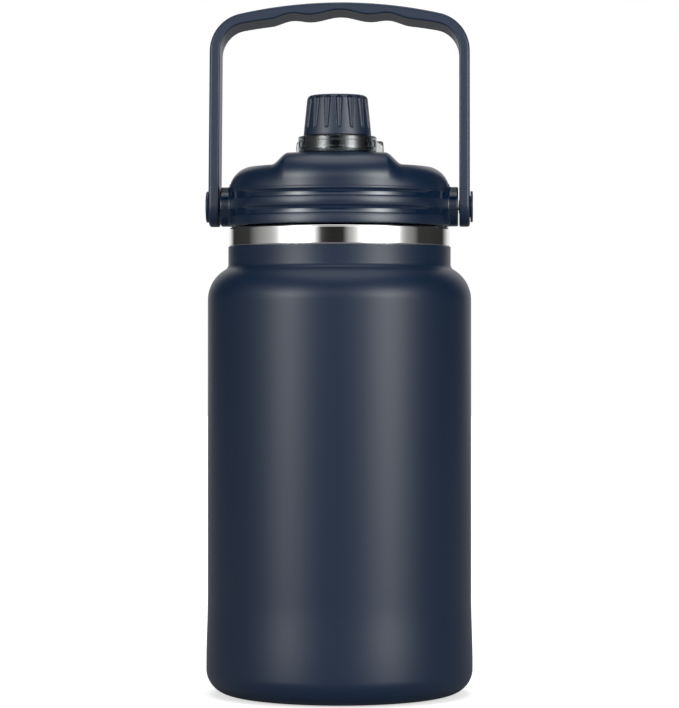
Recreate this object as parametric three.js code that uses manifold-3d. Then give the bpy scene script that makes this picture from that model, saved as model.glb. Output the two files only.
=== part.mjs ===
// A large vacuum-insulated water jug: steel body, screw lid with a flip-up spout cap,
// a drinking straw and a swinging carry handle.
// Millimetres, +Z up. The jug stands on z = 0 and its spout faces -Y.
import * as THREE from 'three';
import { mergeVertices } from 'three/addons/utils/BufferGeometryUtils.js';
import Module from 'manifold-3d';

const wasm = await Module();
wasm.setup();

// ---------------------------------------------------------------- driving dimensions
const GAP = 0.3;               // between pieces that touch on the real jug
const STEEL = 0.7;             // sheet thickness of the steel shells
const SEGMENTS = 36;           // sides of the large rounds
const SMALL_SEGMENTS = 24;     // sides of the small rounds

// Body
const BODY_R = 75.3;
const FOOT_R = 76.2;           // the wall flares a little towards the foot
const FOOT_BAND_Z = 18;        // top of the widest band
const FLARE_Z = 57;            // where the flare ends
const FOOT_CORNER = 14;        // radius of the bottom edge
const BASE_Z = 0.5;            // underside of the steel, the grip ring stands prouder
const BASE_OPENING_R = 56.3;
const SHOULDER_Z = 225;        // where the straight wall ends
const SHOULDER_R = 19.9;       // radius of the shoulder
const NECK_R = 63.6;           // coated neck
const NECK_FILLET = 3.5;
const COAT_Z = 255.3;          // top edge of the coating
const LIP_HEIGHT = 3.5;        // turned-in lip round the base opening
// Neck collar and mouth
const BAND_R = 63.1;           // bare polished band
const BAND_TOP_Z = 266.2;
const THREAD_ROOT_R = 57.6;
const THREAD_HEIGHT = 1.1;
const THREAD_PITCH = 5.6;
const THREAD_START_Z = BAND_TOP_Z + 6;
const THREAD_TURNS = 2.6;
const RIM_Z = 289;
// Inner liner
const LINER_R = 71;
const MOUTH_R = 55.8;
const LINER_FLOOR_Z = 8;
const RIB_HEIGHTS = [257, 272];  // rolled rings in the neck
const RIB_DEPTH = 0.7;
const RIB_HALF = 1.6;
// Lid
const LID_R = 63;
const LID_BOTTOM_Z = 267;
const LID_WALL = 1.5;
const CROWN_WALL = 2.2;
const LID_EDGE = 11.5;         // radius of the rounded top edge
const LID_EDGE_Z = 289.2;      // height of that radius' centre
const CROWN_SLOPE = 0.158;     // the crown rises this much per millimetre inwards
const CROWN_FLAT_R = 30;
const PLATEAU_Z = 307;
const LID_CEILING_Z = 293.3;
const RIDGE_ROUND = 15;        // rounds the ridge's front end down to the skirt
const RIDGE_STEP = 2.4;        // height of the narrow top of the ridge over its wide foot
const RIDGE_FLANK = 3;
const BANDS = [[272.4, 276.7], [282, 285.9]];  // grip bands in the skirt
const BAND_DEPTH = 0.8;
const BAND_HALF_SPAN = 53.5;
const DISH_Y = 61;             // parking dish for the opened cap
const DISH_R = 31;
const DISH_Z = 295.6;
// Handle and its pivots
const PIVOT_Z = 278.3;
const BOSS_R = 11.3;
const BOSS_FACE_X = 67.9;
const LEG_INNER_X = 68.5;
const LEG_OUTER_X = 74.6;
const STRAP_WIDTH = 23;
const HANDLE_REACH = 117.2;    // pivot to the top of the grip
const HANDLE_LEAN = 6;         // degrees, the handle rests leaning back
const GRIP_THICKNESS = 6.9;
const SCREW_R = 2;
const SCREW_TIP_X = 62.2;
const SCREW_HEAD_R = 5.2;
const SCREW_HEAD = 1.8;
const LEG_BUSH_R = 4;
const COUNTERBORE_R = 6.5;
const LEG_WEB_X = 71.5;
const COVER_R = 8.9;
const COVER_FACE_X = 76.3;
const COVER_PLUG = 0.8;
// Spout, cap and their hinge
const SPOUT_Y = -30;
const SPOUT_BORE_R = 11;
const SPOUT_ROOT_R = 12.8;
const SPOUT_RIM_Z = 321.5;
const QUICK_PITCH = 3.6;       // thread between the spout and the cap
const HINGE_Y = 9;
const HINGE_Z = 312.3;
const BARREL_R = 4.2;
const BARREL_HALF = 17;
const KNUCKLE_END_X = 25;
const PIN_R = 1.5;
const RING_R = 22.1;
const RING_TOP_Z = 316.3;
const CAP_BOTTOM_R = 19.1;
const CAP_TOP_R = 17.1;
const CAP_TOP_Z = 339.5;
const CAP_EDGE = 2.5;
const STRAW_R = 5.8;
const STRAW_TOP_Z = 336.5;

// ---------------------------------------------------------------- materials
function material(colour, roughness, metalness) {
  return new THREE.MeshStandardMaterial({ color: colour, roughness: roughness, metalness: metalness });
}
const navyCoat = () => material(0x28303f, 0.55, 0.2);
const navyPlastic = () => material(0x1f2d44, 0.45, 0);
const polishedSteel = () => material(0xd4d4d2, 0.12, 1);
const brushedSteel = () => material(0xb4b2ae, 0.35, 1);
const greySilicone = () => material(0x8f9696, 0.85, 0);
const clearSilicone = () => material(0xd8dadb, 0.7, 0);
const smokyPlastic = () => material(0x3b4146, 0.1, 0);
const whitePlastic = () => material(0xf2f2ee, 0.4, 0);
const foam = () => material(0xe6e2d6, 0.95, 0);

// ---------------------------------------------------------------- geometry helpers
const point = (r, z) => new THREE.Vector2(r, z);
const radians = THREE.MathUtils.degToRad;
const degrees = THREE.MathUtils.radToDeg;

// Points of a circular arc between two angles in degrees, both ends included.
function arc(centreR, centreZ, radius, from, to, steps) {
  const points = [];
  for (let i = 0; i <= steps; i += 1) {
    const angle = radians(from + (to - from) * i / steps);
    points.push(point(centreR + radius * Math.cos(angle), centreZ + radius * Math.sin(angle)));
  }
  return points;
}

// Makes a closed solid from a geometry: joins equal vertices and drops flat triangles.
function solid(geometry) {
  const bare = new THREE.BufferGeometry();
  bare.setAttribute('position', geometry.getAttribute('position'));
  if (geometry.index) {
    bare.setIndex(geometry.index);
  }
  const merged = mergeVertices(bare, 1e-4);
  const triangles = [];
  const index = merged.index.array;
  for (let i = 0; i < index.length; i += 3) {
    const [a, b, c] = [index[i], index[i + 1], index[i + 2]];
    if (a !== b && b !== c && c !== a) {
      triangles.push(a, b, c);
    }
  }
  const build = (order) => new wasm.Manifold(new wasm.Mesh({
    numProp: 3,
    vertProperties: new Float32Array(merged.getAttribute('position').array),
    triVerts: new Uint32Array(order),
  }));
  const first = build(triangles);
  return first.volume() > 0 ? first : build(triangles.reverse());
}

// Turns a closed profile of (radius, height) points about the Z axis.
function revolve(profile, segments = SEGMENTS) {
  const closed = [...profile, profile[0].clone()];
  const geometry = new THREE.LatheGeometry(closed, segments);
  geometry.rotateX(Math.PI / 2);
  return solid(geometry);
}

// A ring or disc between two radii and two heights.
function ring(innerR, outerR, bottomZ, topZ, segments = SMALL_SEGMENTS) {
  return revolve([
    point(innerR, bottomZ), point(outerR, bottomZ), point(outerR, topZ), point(innerR, topZ),
  ], segments);
}

// A cylinder along X between two x values, about the axis at (y, z).
function crossRod(radius, fromX, toX, y, z, segments = SMALL_SEGMENTS) {
  const geometry = new THREE.CylinderGeometry(radius, radius, toX - fromX, segments);
  geometry.rotateZ(Math.PI / 2);
  geometry.translate((fromX + toX) / 2, y, z);
  return solid(geometry);
}

function block(fromX, toX, fromY, toY, fromZ, toZ) {
  const geometry = new THREE.BoxGeometry(toX - fromX, toY - fromY, toZ - fromZ);
  geometry.translate((fromX + toX) / 2, (fromY + toY) / 2, (fromZ + toZ) / 2);
  return solid(geometry);
}

// A prism standing on an outline drawn in the XY plane.
function prism(outline, bottomZ, topZ) {
  const geometry = new THREE.ExtrudeGeometry(new THREE.Shape(outline), {
    depth: topZ - bottomZ, bevelEnabled: false,
  });
  geometry.translate(0, 0, bottomZ);
  return solid(geometry);
}

// A screw thread: a trapezoid ridge that climbs round the axis and fades at both ends.
// side is 1 for a ridge that points outwards, -1 for one that points inwards.
function thread(rootR, height, pitch, bottomZ, turns, side, segments) {
  const count = Math.round(turns * segments);
  const halfFoot = pitch * 0.3;
  const halfCrest = pitch * 0.12;
  const bite = 0.3;              // how far the ridge reaches into its wall
  const positions = [];
  for (let i = 0; i <= count; i += 1) {
    const angle = 2 * Math.PI * i / segments;
    const fade = Math.min(1, i * 6 / segments, (count - i) * 6 / segments);
    const crestR = rootR + side * height * Math.max(fade, 0.02);
    const footR = rootR - side * bite;
    const z = bottomZ + pitch * i / segments;
    const section = [[footR, -halfFoot], [crestR, -halfCrest], [crestR, halfCrest], [footR, halfFoot]];
    for (const [r, dz] of section) {
      positions.push(r * Math.cos(angle), r * Math.sin(angle), z + dz);
    }
  }
  const index = [];
  for (let i = 0; i < count; i += 1) {
    for (let k = 0; k < 4; k += 1) {
      const a = 4 * i + k;
      const b = 4 * i + (k + 1) % 4;
      index.push(a, a + 4, b, b, a + 4, b + 4);
    }
  }
  const last = 4 * count;
  index.push(0, 1, 2, 0, 2, 3, last, last + 2, last + 1, last, last + 3, last + 2);
  const geometry = new THREE.BufferGeometry();
  geometry.setAttribute('position', new THREE.Float32BufferAttribute(positions, 3));
  geometry.setIndex(index);
  return solid(geometry);
}

// Adds a named mesh for a finished solid to a group.
function add(parent, name, shape, finish) {
  const result = shape.getMesh();
  const geometry = new THREE.BufferGeometry();
  geometry.setAttribute('position', new THREE.Float32BufferAttribute(result.vertProperties, 3));
  geometry.setIndex([...result.triVerts]);
  geometry.computeVertexNormals();
  const mesh = new THREE.Mesh(geometry, finish);
  mesh.name = name;
  parent.add(mesh);
}

// ---------------------------------------------------------------- steel body
// Side profile of a drawn shell, listed up its outside. inset moves it inwards.
function outerWall(inset) {
  const cornerZ = BASE_Z + FOOT_CORNER;
  const cornerR = FOOT_R - FOOT_CORNER;
  const shoulderCentre = BODY_R - SHOULDER_R;
  const filletCentre = NECK_R + NECK_FILLET;
  const turn = degrees(
    Math.acos((filletCentre - shoulderCentre) / (SHOULDER_R + NECK_FILLET)));
  const filletZ = SHOULDER_Z + (SHOULDER_R + NECK_FILLET) * Math.sin(radians(turn));
  return [
    ...arc(cornerR, cornerZ, FOOT_CORNER - inset, -90, 0, 4),
    point(FOOT_R - inset, FOOT_BAND_Z),
    point(BODY_R - inset, FLARE_Z),
    ...arc(shoulderCentre, SHOULDER_Z, SHOULDER_R - inset, 0, turn, 4),
    ...arc(filletCentre, filletZ, NECK_FILLET + inset, 180 + turn, 180, 2),
    point(NECK_R - inset, COAT_Z),
  ];
}

function outerShell() {
  const lipTopZ = BASE_Z + LIP_HEIGHT;
  return revolve([
    point(BASE_OPENING_R, lipTopZ),
    point(BASE_OPENING_R, BASE_Z),
    ...outerWall(0),
    ...outerWall(STEEL).reverse(),
    point(BASE_OPENING_R + STEEL, BASE_Z + STEEL),
    point(BASE_OPENING_R + STEEL, lipTopZ),
  ]);
}

// Bottom plate: welded inside the base opening, with a pressed pocket round the vacuum port.
const PLATE_Z = 2;
const PORT_R = 8;
const PORT_RISE = 2.2;
function basePlate() {
  const outerR = BASE_OPENING_R - GAP;
  const flangeZ = BASE_Z + LIP_HEIGHT;
  const slant = 2;
  const draft = 0.4;
  return revolve([
    point(0, PLATE_Z + PORT_RISE),
    point(PORT_R - slant, PLATE_Z + PORT_RISE),
    point(PORT_R, PLATE_Z),
    point(outerR, PLATE_Z),
    point(outerR, flangeZ),
    point(outerR - STEEL, flangeZ),
    point(outerR - STEEL, PLATE_Z + STEEL),
    point(PORT_R + draft, PLATE_Z + STEEL),
    point(PORT_R - slant + draft, PLATE_Z + PORT_RISE + STEEL),
    point(0, PLATE_Z + PORT_RISE + STEEL),
  ]);
}

const GRIP_RING_OUTER = 55.9;
const GRIP_RING_INNER = 34.2;
function baseGripRing() {
  const topZ = PLATE_Z - GAP;
  const round = 0.5;
  return revolve([
    point(GRIP_RING_INNER, round), point(GRIP_RING_INNER + round, 0),
    point(GRIP_RING_OUTER - round, 0), point(GRIP_RING_OUTER, round),
    point(GRIP_RING_OUTER, topZ), point(GRIP_RING_INNER, topZ),
  ]);
}

const baseCoverDisc = () => ring(0, GRIP_RING_INNER - GAP, BASE_Z, PLATE_Z - GAP, SEGMENTS);

const PORT_SEAL_R = 5;
const vacuumPortSeal = () => ring(0, PORT_SEAL_R, PLATE_Z + 2 * GAP, PLATE_Z + PORT_RISE - GAP);

// Getter pill that keeps the vacuum, beside the port.
const GETTER_X = 34;
const GETTER_R = 6;
const GETTER_HEIGHT = 2.6;
const GETTER_Z = PLATE_Z + STEEL + GAP;
const getterCapsule = () => ring(0, GETTER_R, GETTER_Z, GETTER_Z + GETTER_HEIGHT);

// Neck collar: a sleeve inside the coated neck, the bare band, a shelf and the threaded mouth.
function neckCollar() {
  const sleeveR = NECK_R - STEEL - GAP;
  const overlap = 7.5;
  const sleeveZ = COAT_Z - overlap;
  const bandZ = COAT_Z + GAP;
  const topZ = RIM_Z - STEEL - 0.2;
  const bead = 0.9;
  const beadZ = BAND_TOP_Z + 2.4;
  const edge = 1;
  const wall = revolve([
    point(sleeveR, sleeveZ),
    point(sleeveR, bandZ),
    point(BAND_R, bandZ),
    ...arc(BAND_R - edge, BAND_TOP_Z - edge, edge, 0, 90, 1),
    point(THREAD_ROOT_R + bead, BAND_TOP_Z),
    point(THREAD_ROOT_R + bead, beadZ),
    point(THREAD_ROOT_R, beadZ + bead),
    point(THREAD_ROOT_R, topZ),
    point(THREAD_ROOT_R - STEEL, topZ),
    point(THREAD_ROOT_R - STEEL, BAND_TOP_Z - STEEL),
    point(BAND_R - STEEL, BAND_TOP_Z - STEEL),
    point(BAND_R - STEEL, bandZ + STEEL),
    point(sleeveR - STEEL, bandZ + STEEL),
    point(sleeveR - STEEL, sleeveZ),
  ]);
  return wall.add(thread(
    THREAD_ROOT_R, THREAD_HEIGHT, THREAD_PITCH, THREAD_START_Z, THREAD_TURNS, 1, SEGMENTS));
}

// Inner liner: the wet vessel, with two rolled rings in the neck and a stepped bottom.
const LINER_SHOULDER_Z = 224;
const LINER_NECK_FILLET = 6;
const LINER_CORNER = 14;
function linerWall(outset) {
  const neckR = MOUTH_R + STEEL;
  const centre = BODY_R - SHOULDER_R;
  const shoulder = LINER_R + STEEL - centre;
  const filletCentre = neckR + LINER_NECK_FILLET;
  const turn = degrees(Math.acos((filletCentre - centre) / (shoulder + LINER_NECK_FILLET)));
  const filletZ = LINER_SHOULDER_Z + (shoulder + LINER_NECK_FILLET) * Math.sin(radians(turn));
  const inset = STEEL - outset;
  const rib = (z) => [
    point(MOUTH_R + outset, z - RIB_HALF),
    point(MOUTH_R + outset - RIB_DEPTH, z),
    point(MOUTH_R + outset, z + RIB_HALF),
  ];
  return [
    ...arc(LINER_R - LINER_CORNER, LINER_FLOOR_Z + LINER_CORNER, LINER_CORNER + outset, -90, 0, 3),
    ...arc(centre, LINER_SHOULDER_Z, shoulder - inset, 0, turn, 3),
    ...arc(filletCentre, filletZ, LINER_NECK_FILLET + inset, 180 + turn, 180, 2),
    ...RIB_HEIGHTS.flatMap(rib),
  ];
}

// Stepped bottom of the liner from the axis outwards: dimple, disc, groove, ring, groove.
function linerFloor(drop) {
  const discZ = LINER_FLOOR_Z + 0.6 - drop;
  const grooveZ = discZ - 1.4;
  const dimpleR = 24;
  const dimpleDepth = 2.5;
  const grooveR = 45;
  const outerR = 55;
  return [
    point(0, discZ - dimpleDepth),
    point(dimpleR, discZ),
    point(grooveR - 1.2, discZ),
    point(grooveR - 0.6, grooveZ),
    point(grooveR + 0.6, grooveZ),
    point(grooveR + 1.2, discZ),
    point(outerR, discZ),
  ];
}

function innerLiner() {
  const lipR = THREAD_ROOT_R;
  const lipZ = RIM_Z - 2 * GAP;
  return revolve([
    ...linerFloor(STEEL),
    ...linerWall(STEEL),
    point(MOUTH_R + STEEL, lipZ),
    point(lipR, lipZ),
    point(lipR, RIM_Z),
    point(MOUTH_R, RIM_Z),
    ...linerWall(0).reverse(),
    ...linerFloor(0).reverse(),
  ]);
}

// ---------------------------------------------------------------- lid
// Half-width of the raised ridge that runs over the lid from front to back.
function ridgeHalfWidth(y) {
  const waistY = 16;
  const waist = 24.5;
  const spread = y > waistY ? 0.0072 : 0.0008;
  return waist + spread * (y - waistY) ** 2;
}

// Outline of the ridge in plan, widened by a margin.
function ridgeOutline(margin) {
  const steps = 10;
  const reach = LID_R + 2;
  const right = [];
  for (let i = 0; i <= steps; i += 1) {
    const y = -reach + 2 * reach * i / steps;
    right.push(new THREE.Vector2(ridgeHalfWidth(y) + margin, y));
  }
  const left = right.map((p) => new THREE.Vector2(-p.x, p.y)).reverse();
  return [...right, ...left];
}

// Rounded crown of the lid from the axis outwards, lowered by drop.
function crown(drop) {
  const tilt = degrees(Math.atan(CROWN_SLOPE));
  const centreR = LID_R - LID_EDGE;
  const edge = arc(centreR, LID_EDGE_Z, LID_EDGE - drop, 90 - tilt, 0, 6);
  const flatZ = edge[0].y + CROWN_SLOPE * (edge[0].x - CROWN_FLAT_R);
  return [point(0, flatZ), point(CROWN_FLAT_R, flatZ), ...edge];
}

// Upper envelope that rounds the front end of the ridge down to the skirt.
function ridgeEnvelope(drop) {
  const centreR = LID_R - RIDGE_ROUND;
  const lowZ = LID_CEILING_Z - 4;
  return revolve([
    point(0, lowZ),
    point(0, PLATEAU_Z - drop),
    point(centreR, PLATEAU_Z - drop),
    ...arc(centreR, PLATEAU_Z - RIDGE_ROUND, RIDGE_ROUND - drop, 80, 10, 5),
    point(LID_R - drop, lowZ),
  ]);
}

// The lid's outer form: crown with the ridge standing on it.
function lidForm(drop) {
  const crownBody = revolve([...crown(drop), point(LID_R - drop, LID_BOTTOM_Z), point(0, LID_BOTTOM_Z)]);
  const lowZ = LID_CEILING_Z - 3;
  const wide = prism(ridgeOutline(RIDGE_FLANK - drop), lowZ, PLATEAU_Z - RIDGE_STEP);
  const narrow = prism(ridgeOutline(-drop), lowZ, PLATEAU_Z + 5);
  const ridge = wide.add(narrow).intersect(ridgeEnvelope(drop));
  return crownBody.add(ridge);
}

function parkingDish(margin) {
  const dish = ring(0, DISH_R + margin, DISH_Z - margin, PLATEAU_Z + 10, SEGMENTS);
  return dish.translate([0, DISH_Y, 0]);
}

// Shallow leaf-shaped scoop in one side lobe of the crown.
function lobeScoop(side) {
  const outerR = 53;
  const halfAngle = 56;
  const tipY = 44;
  const margin = 4.5;
  const startZ = PLATEAU_Z + 0.2;
  const steps = 8;
  const outline = [];
  for (let i = 0; i <= steps; i += 1) {
    const angle = radians(halfAngle * (2 * i / steps - 1));
    outline.push(new THREE.Vector2(side * outerR * Math.cos(angle), outerR * Math.sin(angle)));
  }
  for (let i = 1; i < steps; i += 1) {
    const y = tipY * (1 - 2 * i / steps);
    outline.push(new THREE.Vector2(side * (ridgeHalfWidth(y) + margin), y));
  }
  const tilt = side * degrees(Math.atan(CROWN_SLOPE));
  return prism(outline, 0, 10).rotate([0, tilt, 0]).translate([0, 0, startZ]);
}

// Grip bands pressed into the front and the back of the skirt.
function skirtBands() {
  const [lower, upper] = BANDS.map(([bottomZ, topZ]) => (
    ring(LID_R - BAND_DEPTH, LID_R + 3, bottomZ, topZ, SEGMENTS)
  ));
  const span = block(-BAND_HALF_SPAN, BAND_HALF_SPAN, -LID_R - 5, LID_R + 5, LID_BOTTOM_Z, LID_CEILING_Z);
  return lower.add(upper).intersect(span);
}

// Handle pivot boss on one side of the skirt; side is 1 or -1.
function pivotBoss(side) {
  const span = [LID_R - 4, BOSS_FACE_X].map((x) => side * x);
  return crossRod(BOSS_R, Math.min(...span), Math.max(...span), 0, PIVOT_Z);
}

function screwHole(side) {
  const span = [SCREW_TIP_X - GAP, BOSS_FACE_X + 1].map((x) => side * x);
  return crossRod(SCREW_R + GAP, Math.min(...span), Math.max(...span), 0, PIVOT_Z, 16);
}

function spoutHole(radius) {
  return ring(0, radius, LID_BOTTOM_Z, PLATEAU_Z + 20).translate([0, SPOUT_Y, 0]);
}

const SPIGOT_R = 12.6;
// Hollow between the lid's top wall and its thread liner.
function lidHollow(wall) {
  const reach = 56;
  const slab = ring(0, reach - wall, LID_CEILING_Z - CROWN_WALL + wall, PLATEAU_Z + 10, SEGMENTS);
  return lidForm(wall).intersect(slab).subtract(parkingDish(wall));
}

function lidShell() {
  const bore = ring(0, LID_R - LID_WALL, LID_BOTTOM_Z - 5, LID_CEILING_Z, SEGMENTS);
  const barrel = crossRod(BARREL_R, -BARREL_HALF, BARREL_HALF, HINGE_Y, HINGE_Z);
  const webHalf = 3;
  const web = block(-BARREL_HALF, BARREL_HALF, HINGE_Y - webHalf, HINGE_Y + webHalf, PLATEAU_Z - 1, HINGE_Z);
  const pinHole = crossRod(PIN_R + GAP, -BARREL_HALF - 1, BARREL_HALF + 1, HINGE_Y, HINGE_Z, 16);
  return lidForm(0)
    .subtract(lobeScoop(1))
    .subtract(lobeScoop(-1))
    .subtract(skirtBands())
    .subtract(parkingDish(0))
    .subtract(bore)
    .subtract(lidHollow(CROWN_WALL))
    .add(pivotBoss(1).add(pivotBoss(-1)).subtract(bore))
    .add(barrel)
    .add(web)
    .subtract(pinHole)
    .subtract(screwHole(1))
    .subtract(screwHole(-1))
    .subtract(spoutHole(SPIGOT_R + GAP));
}

// Foam insulation under the front half of the lid.
function lidFoam() {
  const backY = DISH_Y - DISH_R - 4;
  const holeR = SPIGOT_R + 2.4;
  const front = block(-LID_R, LID_R, -LID_R, backY, LID_CEILING_Z + GAP, PLATEAU_Z);
  return lidHollow(CROWN_WALL + GAP).intersect(front).subtract(spoutHole(holeR));
}

// Threaded liner: an upside-down cup inside the skirt that screws on to the neck.
const LINER_CUP_R = LID_R - LID_WALL - GAP;
const LINER_PLATE_Z = 291.5;
function lidThreadLiner() {
  const rootR = THREAD_ROOT_R + 2.5;
  const ridgeHeight = 1;
  const ridgeZ = THREAD_START_Z + 2.2;
  const turns = 2.2;
  const footZ = LID_BOTTOM_Z + 0.4;
  const topZ = LID_CEILING_Z - GAP;
  const cup = revolve([
    point(rootR, footZ),
    point(LINER_CUP_R, footZ),
    point(LINER_CUP_R, topZ),
    point(0, topZ),
    point(0, LINER_PLATE_Z),
    point(rootR, LINER_PLATE_Z),
  ]);
  const ridge = thread(rootR, ridgeHeight, THREAD_PITCH, ridgeZ, turns, -1, SEGMENTS);
  return cup.add(ridge).subtract(spoutHole(SPIGOT_R + GAP));
}

// Flat ring that seals the rim.
const GASKET_Z = RIM_Z + 0.25;
const GASKET_TOP_Z = GASKET_Z + 2;
const lidGasket = () => ring(MOUTH_R - 1.6, THREAD_ROOT_R + 1, GASKET_Z, GASKET_TOP_Z, SEGMENTS);

// ---------------------------------------------------------------- spout and straw
// Drawn about the spout's own axis.
const SPOUT_BASE_Z = PLATEAU_Z + GAP;
const SPIGOT_BOTTOM_Z = 287.5;
const SPOUT_FLANGE_R = 14;
const SPOUT_TURNS = 1.35;
function spout() {
  const lead = 0.6;              // plain lead-in above the thread
  const wall = revolve([
    point(SPOUT_BORE_R, SPIGOT_BOTTOM_Z),
    point(SPIGOT_R, SPIGOT_BOTTOM_Z),
    point(SPIGOT_R, SPOUT_BASE_Z),
    point(SPOUT_FLANGE_R, SPOUT_BASE_Z),
    point(SPOUT_FLANGE_R, SPOUT_BASE_Z + 2),
    point(SPOUT_ROOT_R, SPOUT_BASE_Z + 3),
    point(SPOUT_ROOT_R, SPOUT_RIM_Z - 4),
    point(SPOUT_ROOT_R - lead, SPOUT_RIM_Z - 3.5),
    point(SPOUT_ROOT_R - lead, SPOUT_RIM_Z - 0.5),
    point(SPOUT_ROOT_R - lead - 0.4, SPOUT_RIM_Z),
    point(SPOUT_BORE_R, SPOUT_RIM_Z),
  ], SMALL_SEGMENTS);
  return wall.add(thread(
    SPOUT_ROOT_R, 1, QUICK_PITCH, SPOUT_BASE_Z + 4.6, SPOUT_TURNS, 1, SMALL_SEGMENTS));
}

// Seal between the spout's spigot and the underside of the thread liner.
const spoutSeal = () => ring(SPIGOT_R + GAP, SPIGOT_R + 3, SPIGOT_BOTTOM_Z + 2, LINER_PLATE_Z - GAP);

// Three-armed spider that holds the straw in the middle of the spout.
const HUB_R = 7.6;
const HOLDER_BOTTOM_Z = SPIGOT_BOTTOM_Z + 1.5;
const HOLDER_SEAT_Z = HOLDER_BOTTOM_Z + 5;
const HOLDER_TOP_Z = HOLDER_BOTTOM_Z + 8;
const STRAW_TUBE_R = 4.6;
function strawHolder() {
  const rimWall = 1.3;
  const armHalf = 1;
  const rimR = SPOUT_BORE_R - GAP;
  const rim = ring(rimR - rimWall, rimR, HOLDER_BOTTOM_Z, HOLDER_TOP_Z);
  const hub = ring(0, HUB_R, HOLDER_BOTTOM_Z, HOLDER_TOP_Z);
  const arm = block(HUB_R - 1, SPOUT_BORE_R - 1, -armHalf, armHalf, HOLDER_BOTTOM_Z, HOLDER_TOP_Z);
  const socket = ring(0, STRAW_R + GAP, HOLDER_SEAT_Z, HOLDER_TOP_Z + 1);
  const throat = ring(0, STRAW_TUBE_R + GAP, HOLDER_BOTTOM_Z - 1, HOLDER_SEAT_Z + 1);
  let holder = rim.add(hub);
  for (const turn of [0, 120, 240]) {
    holder = holder.add(arm.rotate([0, 0, turn]));
  }
  return holder.subtract(socket).subtract(throat);
}

// Soft white mouthpiece with a rounded end.
function strawMouthpiece() {
  const bottomZ = HOLDER_SEAT_Z + GAP;
  const wall = 1.9;
  return revolve([
    point(STRAW_R - wall, bottomZ),
    point(STRAW_R, bottomZ),
    ...arc(STRAW_R - wall, STRAW_TOP_Z - wall, wall, 0, 90, 3),
    point(STRAW_R - wall, STRAW_TOP_Z - 0.4),
  ], SMALL_SEGMENTS);
}

const STRAW_FOOT_Z = 14;
const STRAW_WALL = 1;
function strawTube() {
  const topZ = HOLDER_SEAT_Z - 2 * GAP;
  return ring(STRAW_TUBE_R - STRAW_WALL, STRAW_TUBE_R, STRAW_FOOT_Z, topZ, 20);
}

// ---------------------------------------------------------------- cap, drawn about the spout's axis
const COLLAR_R = 17.6;
const COLLAR_BORE_R = 15.6;
const CAP_FOOT_Z = PLATEAU_Z + 0.9;
const CAP_SKIRT_Z = RING_TOP_Z + GAP;
const CAP_SEAT_Z = SPOUT_RIM_Z + 2.6;
const CAP_WELL_R = 10.6;
const DISC_R = 10.3;
const DISC_DEPTH = 0.9;
const CAP_CEILING_Z = CAP_TOP_Z - DISC_DEPTH - 1.2;
const FLUTES = 16;
const FLUTE_R = 1.5;
function capShell() {
  const shoulderZ = CAP_TOP_Z - CAP_EDGE;
  const ridgeHeight = 0.9;
  const turns = 1.3;
  const outside = revolve([
    point(COLLAR_BORE_R, CAP_FOOT_Z),
    point(COLLAR_R, CAP_FOOT_Z),
    point(COLLAR_R, CAP_SKIRT_Z),
    point(CAP_BOTTOM_R, CAP_SKIRT_Z),
    ...arc(CAP_TOP_R - CAP_EDGE, shoulderZ, CAP_EDGE, 0, 90, 3),
    point(DISC_R, CAP_TOP_Z),
    point(DISC_R, CAP_TOP_Z - DISC_DEPTH),
    point(0, CAP_TOP_Z - DISC_DEPTH),
    point(0, CAP_CEILING_Z),
    point(CAP_WELL_R, CAP_CEILING_Z),
    point(CAP_WELL_R, CAP_SEAT_Z),
    point(COLLAR_BORE_R, CAP_SEAT_Z),
  ], 32);
  const fluteBottomZ = CAP_SKIRT_Z + 3.6;
  const fluteHeight = shoulderZ - fluteBottomZ;
  const lean = Math.atan((CAP_BOTTOM_R - CAP_TOP_R) / (shoulderZ - CAP_SKIRT_Z));
  const groove = new THREE.CylinderGeometry(FLUTE_R, FLUTE_R, fluteHeight, 8);
  groove.rotateX(Math.PI / 2);
  groove.rotateY(-lean);
  groove.translate(CAP_BOTTOM_R + 0.1, 0, fluteBottomZ + fluteHeight / 2);
  const flute = solid(groove);
  let cap = outside.add(thread(
    COLLAR_BORE_R, ridgeHeight, QUICK_PITCH, CAP_FOOT_Z + 4, turns, -1, SMALL_SEGMENTS));
  for (let i = 0; i < FLUTES; i += 1) {
    cap = cap.subtract(flute.rotate([0, 0, 360 * (i + 0.5) / FLUTES]));
  }
  return cap;
}

const capTopDisc = () => ring(0, DISC_R - GAP, CAP_TOP_Z - DISC_DEPTH + GAP, CAP_TOP_Z, SMALL_SEGMENTS);

const capGasket = () => (
  ring(CAP_WELL_R, COLLAR_BORE_R - GAP, SPOUT_RIM_Z + GAP, CAP_SEAT_Z - GAP, SMALL_SEGMENTS)
);

// Snap ring that holds the cap in its carrier.
const SNAP_R = 19.4;
const SNAP_TOP_Z = CAP_FOOT_Z + 2.2;
const capSnapRing = () => ring(COLLAR_R + GAP, SNAP_R, CAP_FOOT_Z, SNAP_TOP_Z, SMALL_SEGMENTS);

// ---------------------------------------------------------------- cap carrier
function hingePin() {
  return crossRod(PIN_R, GAP - KNUCKLE_END_X, KNUCKLE_END_X - GAP, HINGE_Y, HINGE_Z, 16);
}

// Plan outline of the arm: tangent sides from the ring to the hinge.
function armOutline(inset) {
  const ringR = RING_R - inset;
  const hingeHalf = KNUCKLE_END_X - inset;
  const outline = [new THREE.Vector2(hingeHalf, HINGE_Y)];
  outline.push(new THREE.Vector2(-hingeHalf, HINGE_Y));
  for (let angle = 180; angle <= 360; angle += 10) {
    outline.push(new THREE.Vector2(
      ringR * Math.cos(radians(angle)), SPOUT_Y + ringR * Math.sin(radians(angle))));
  }
  return outline;
}

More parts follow.
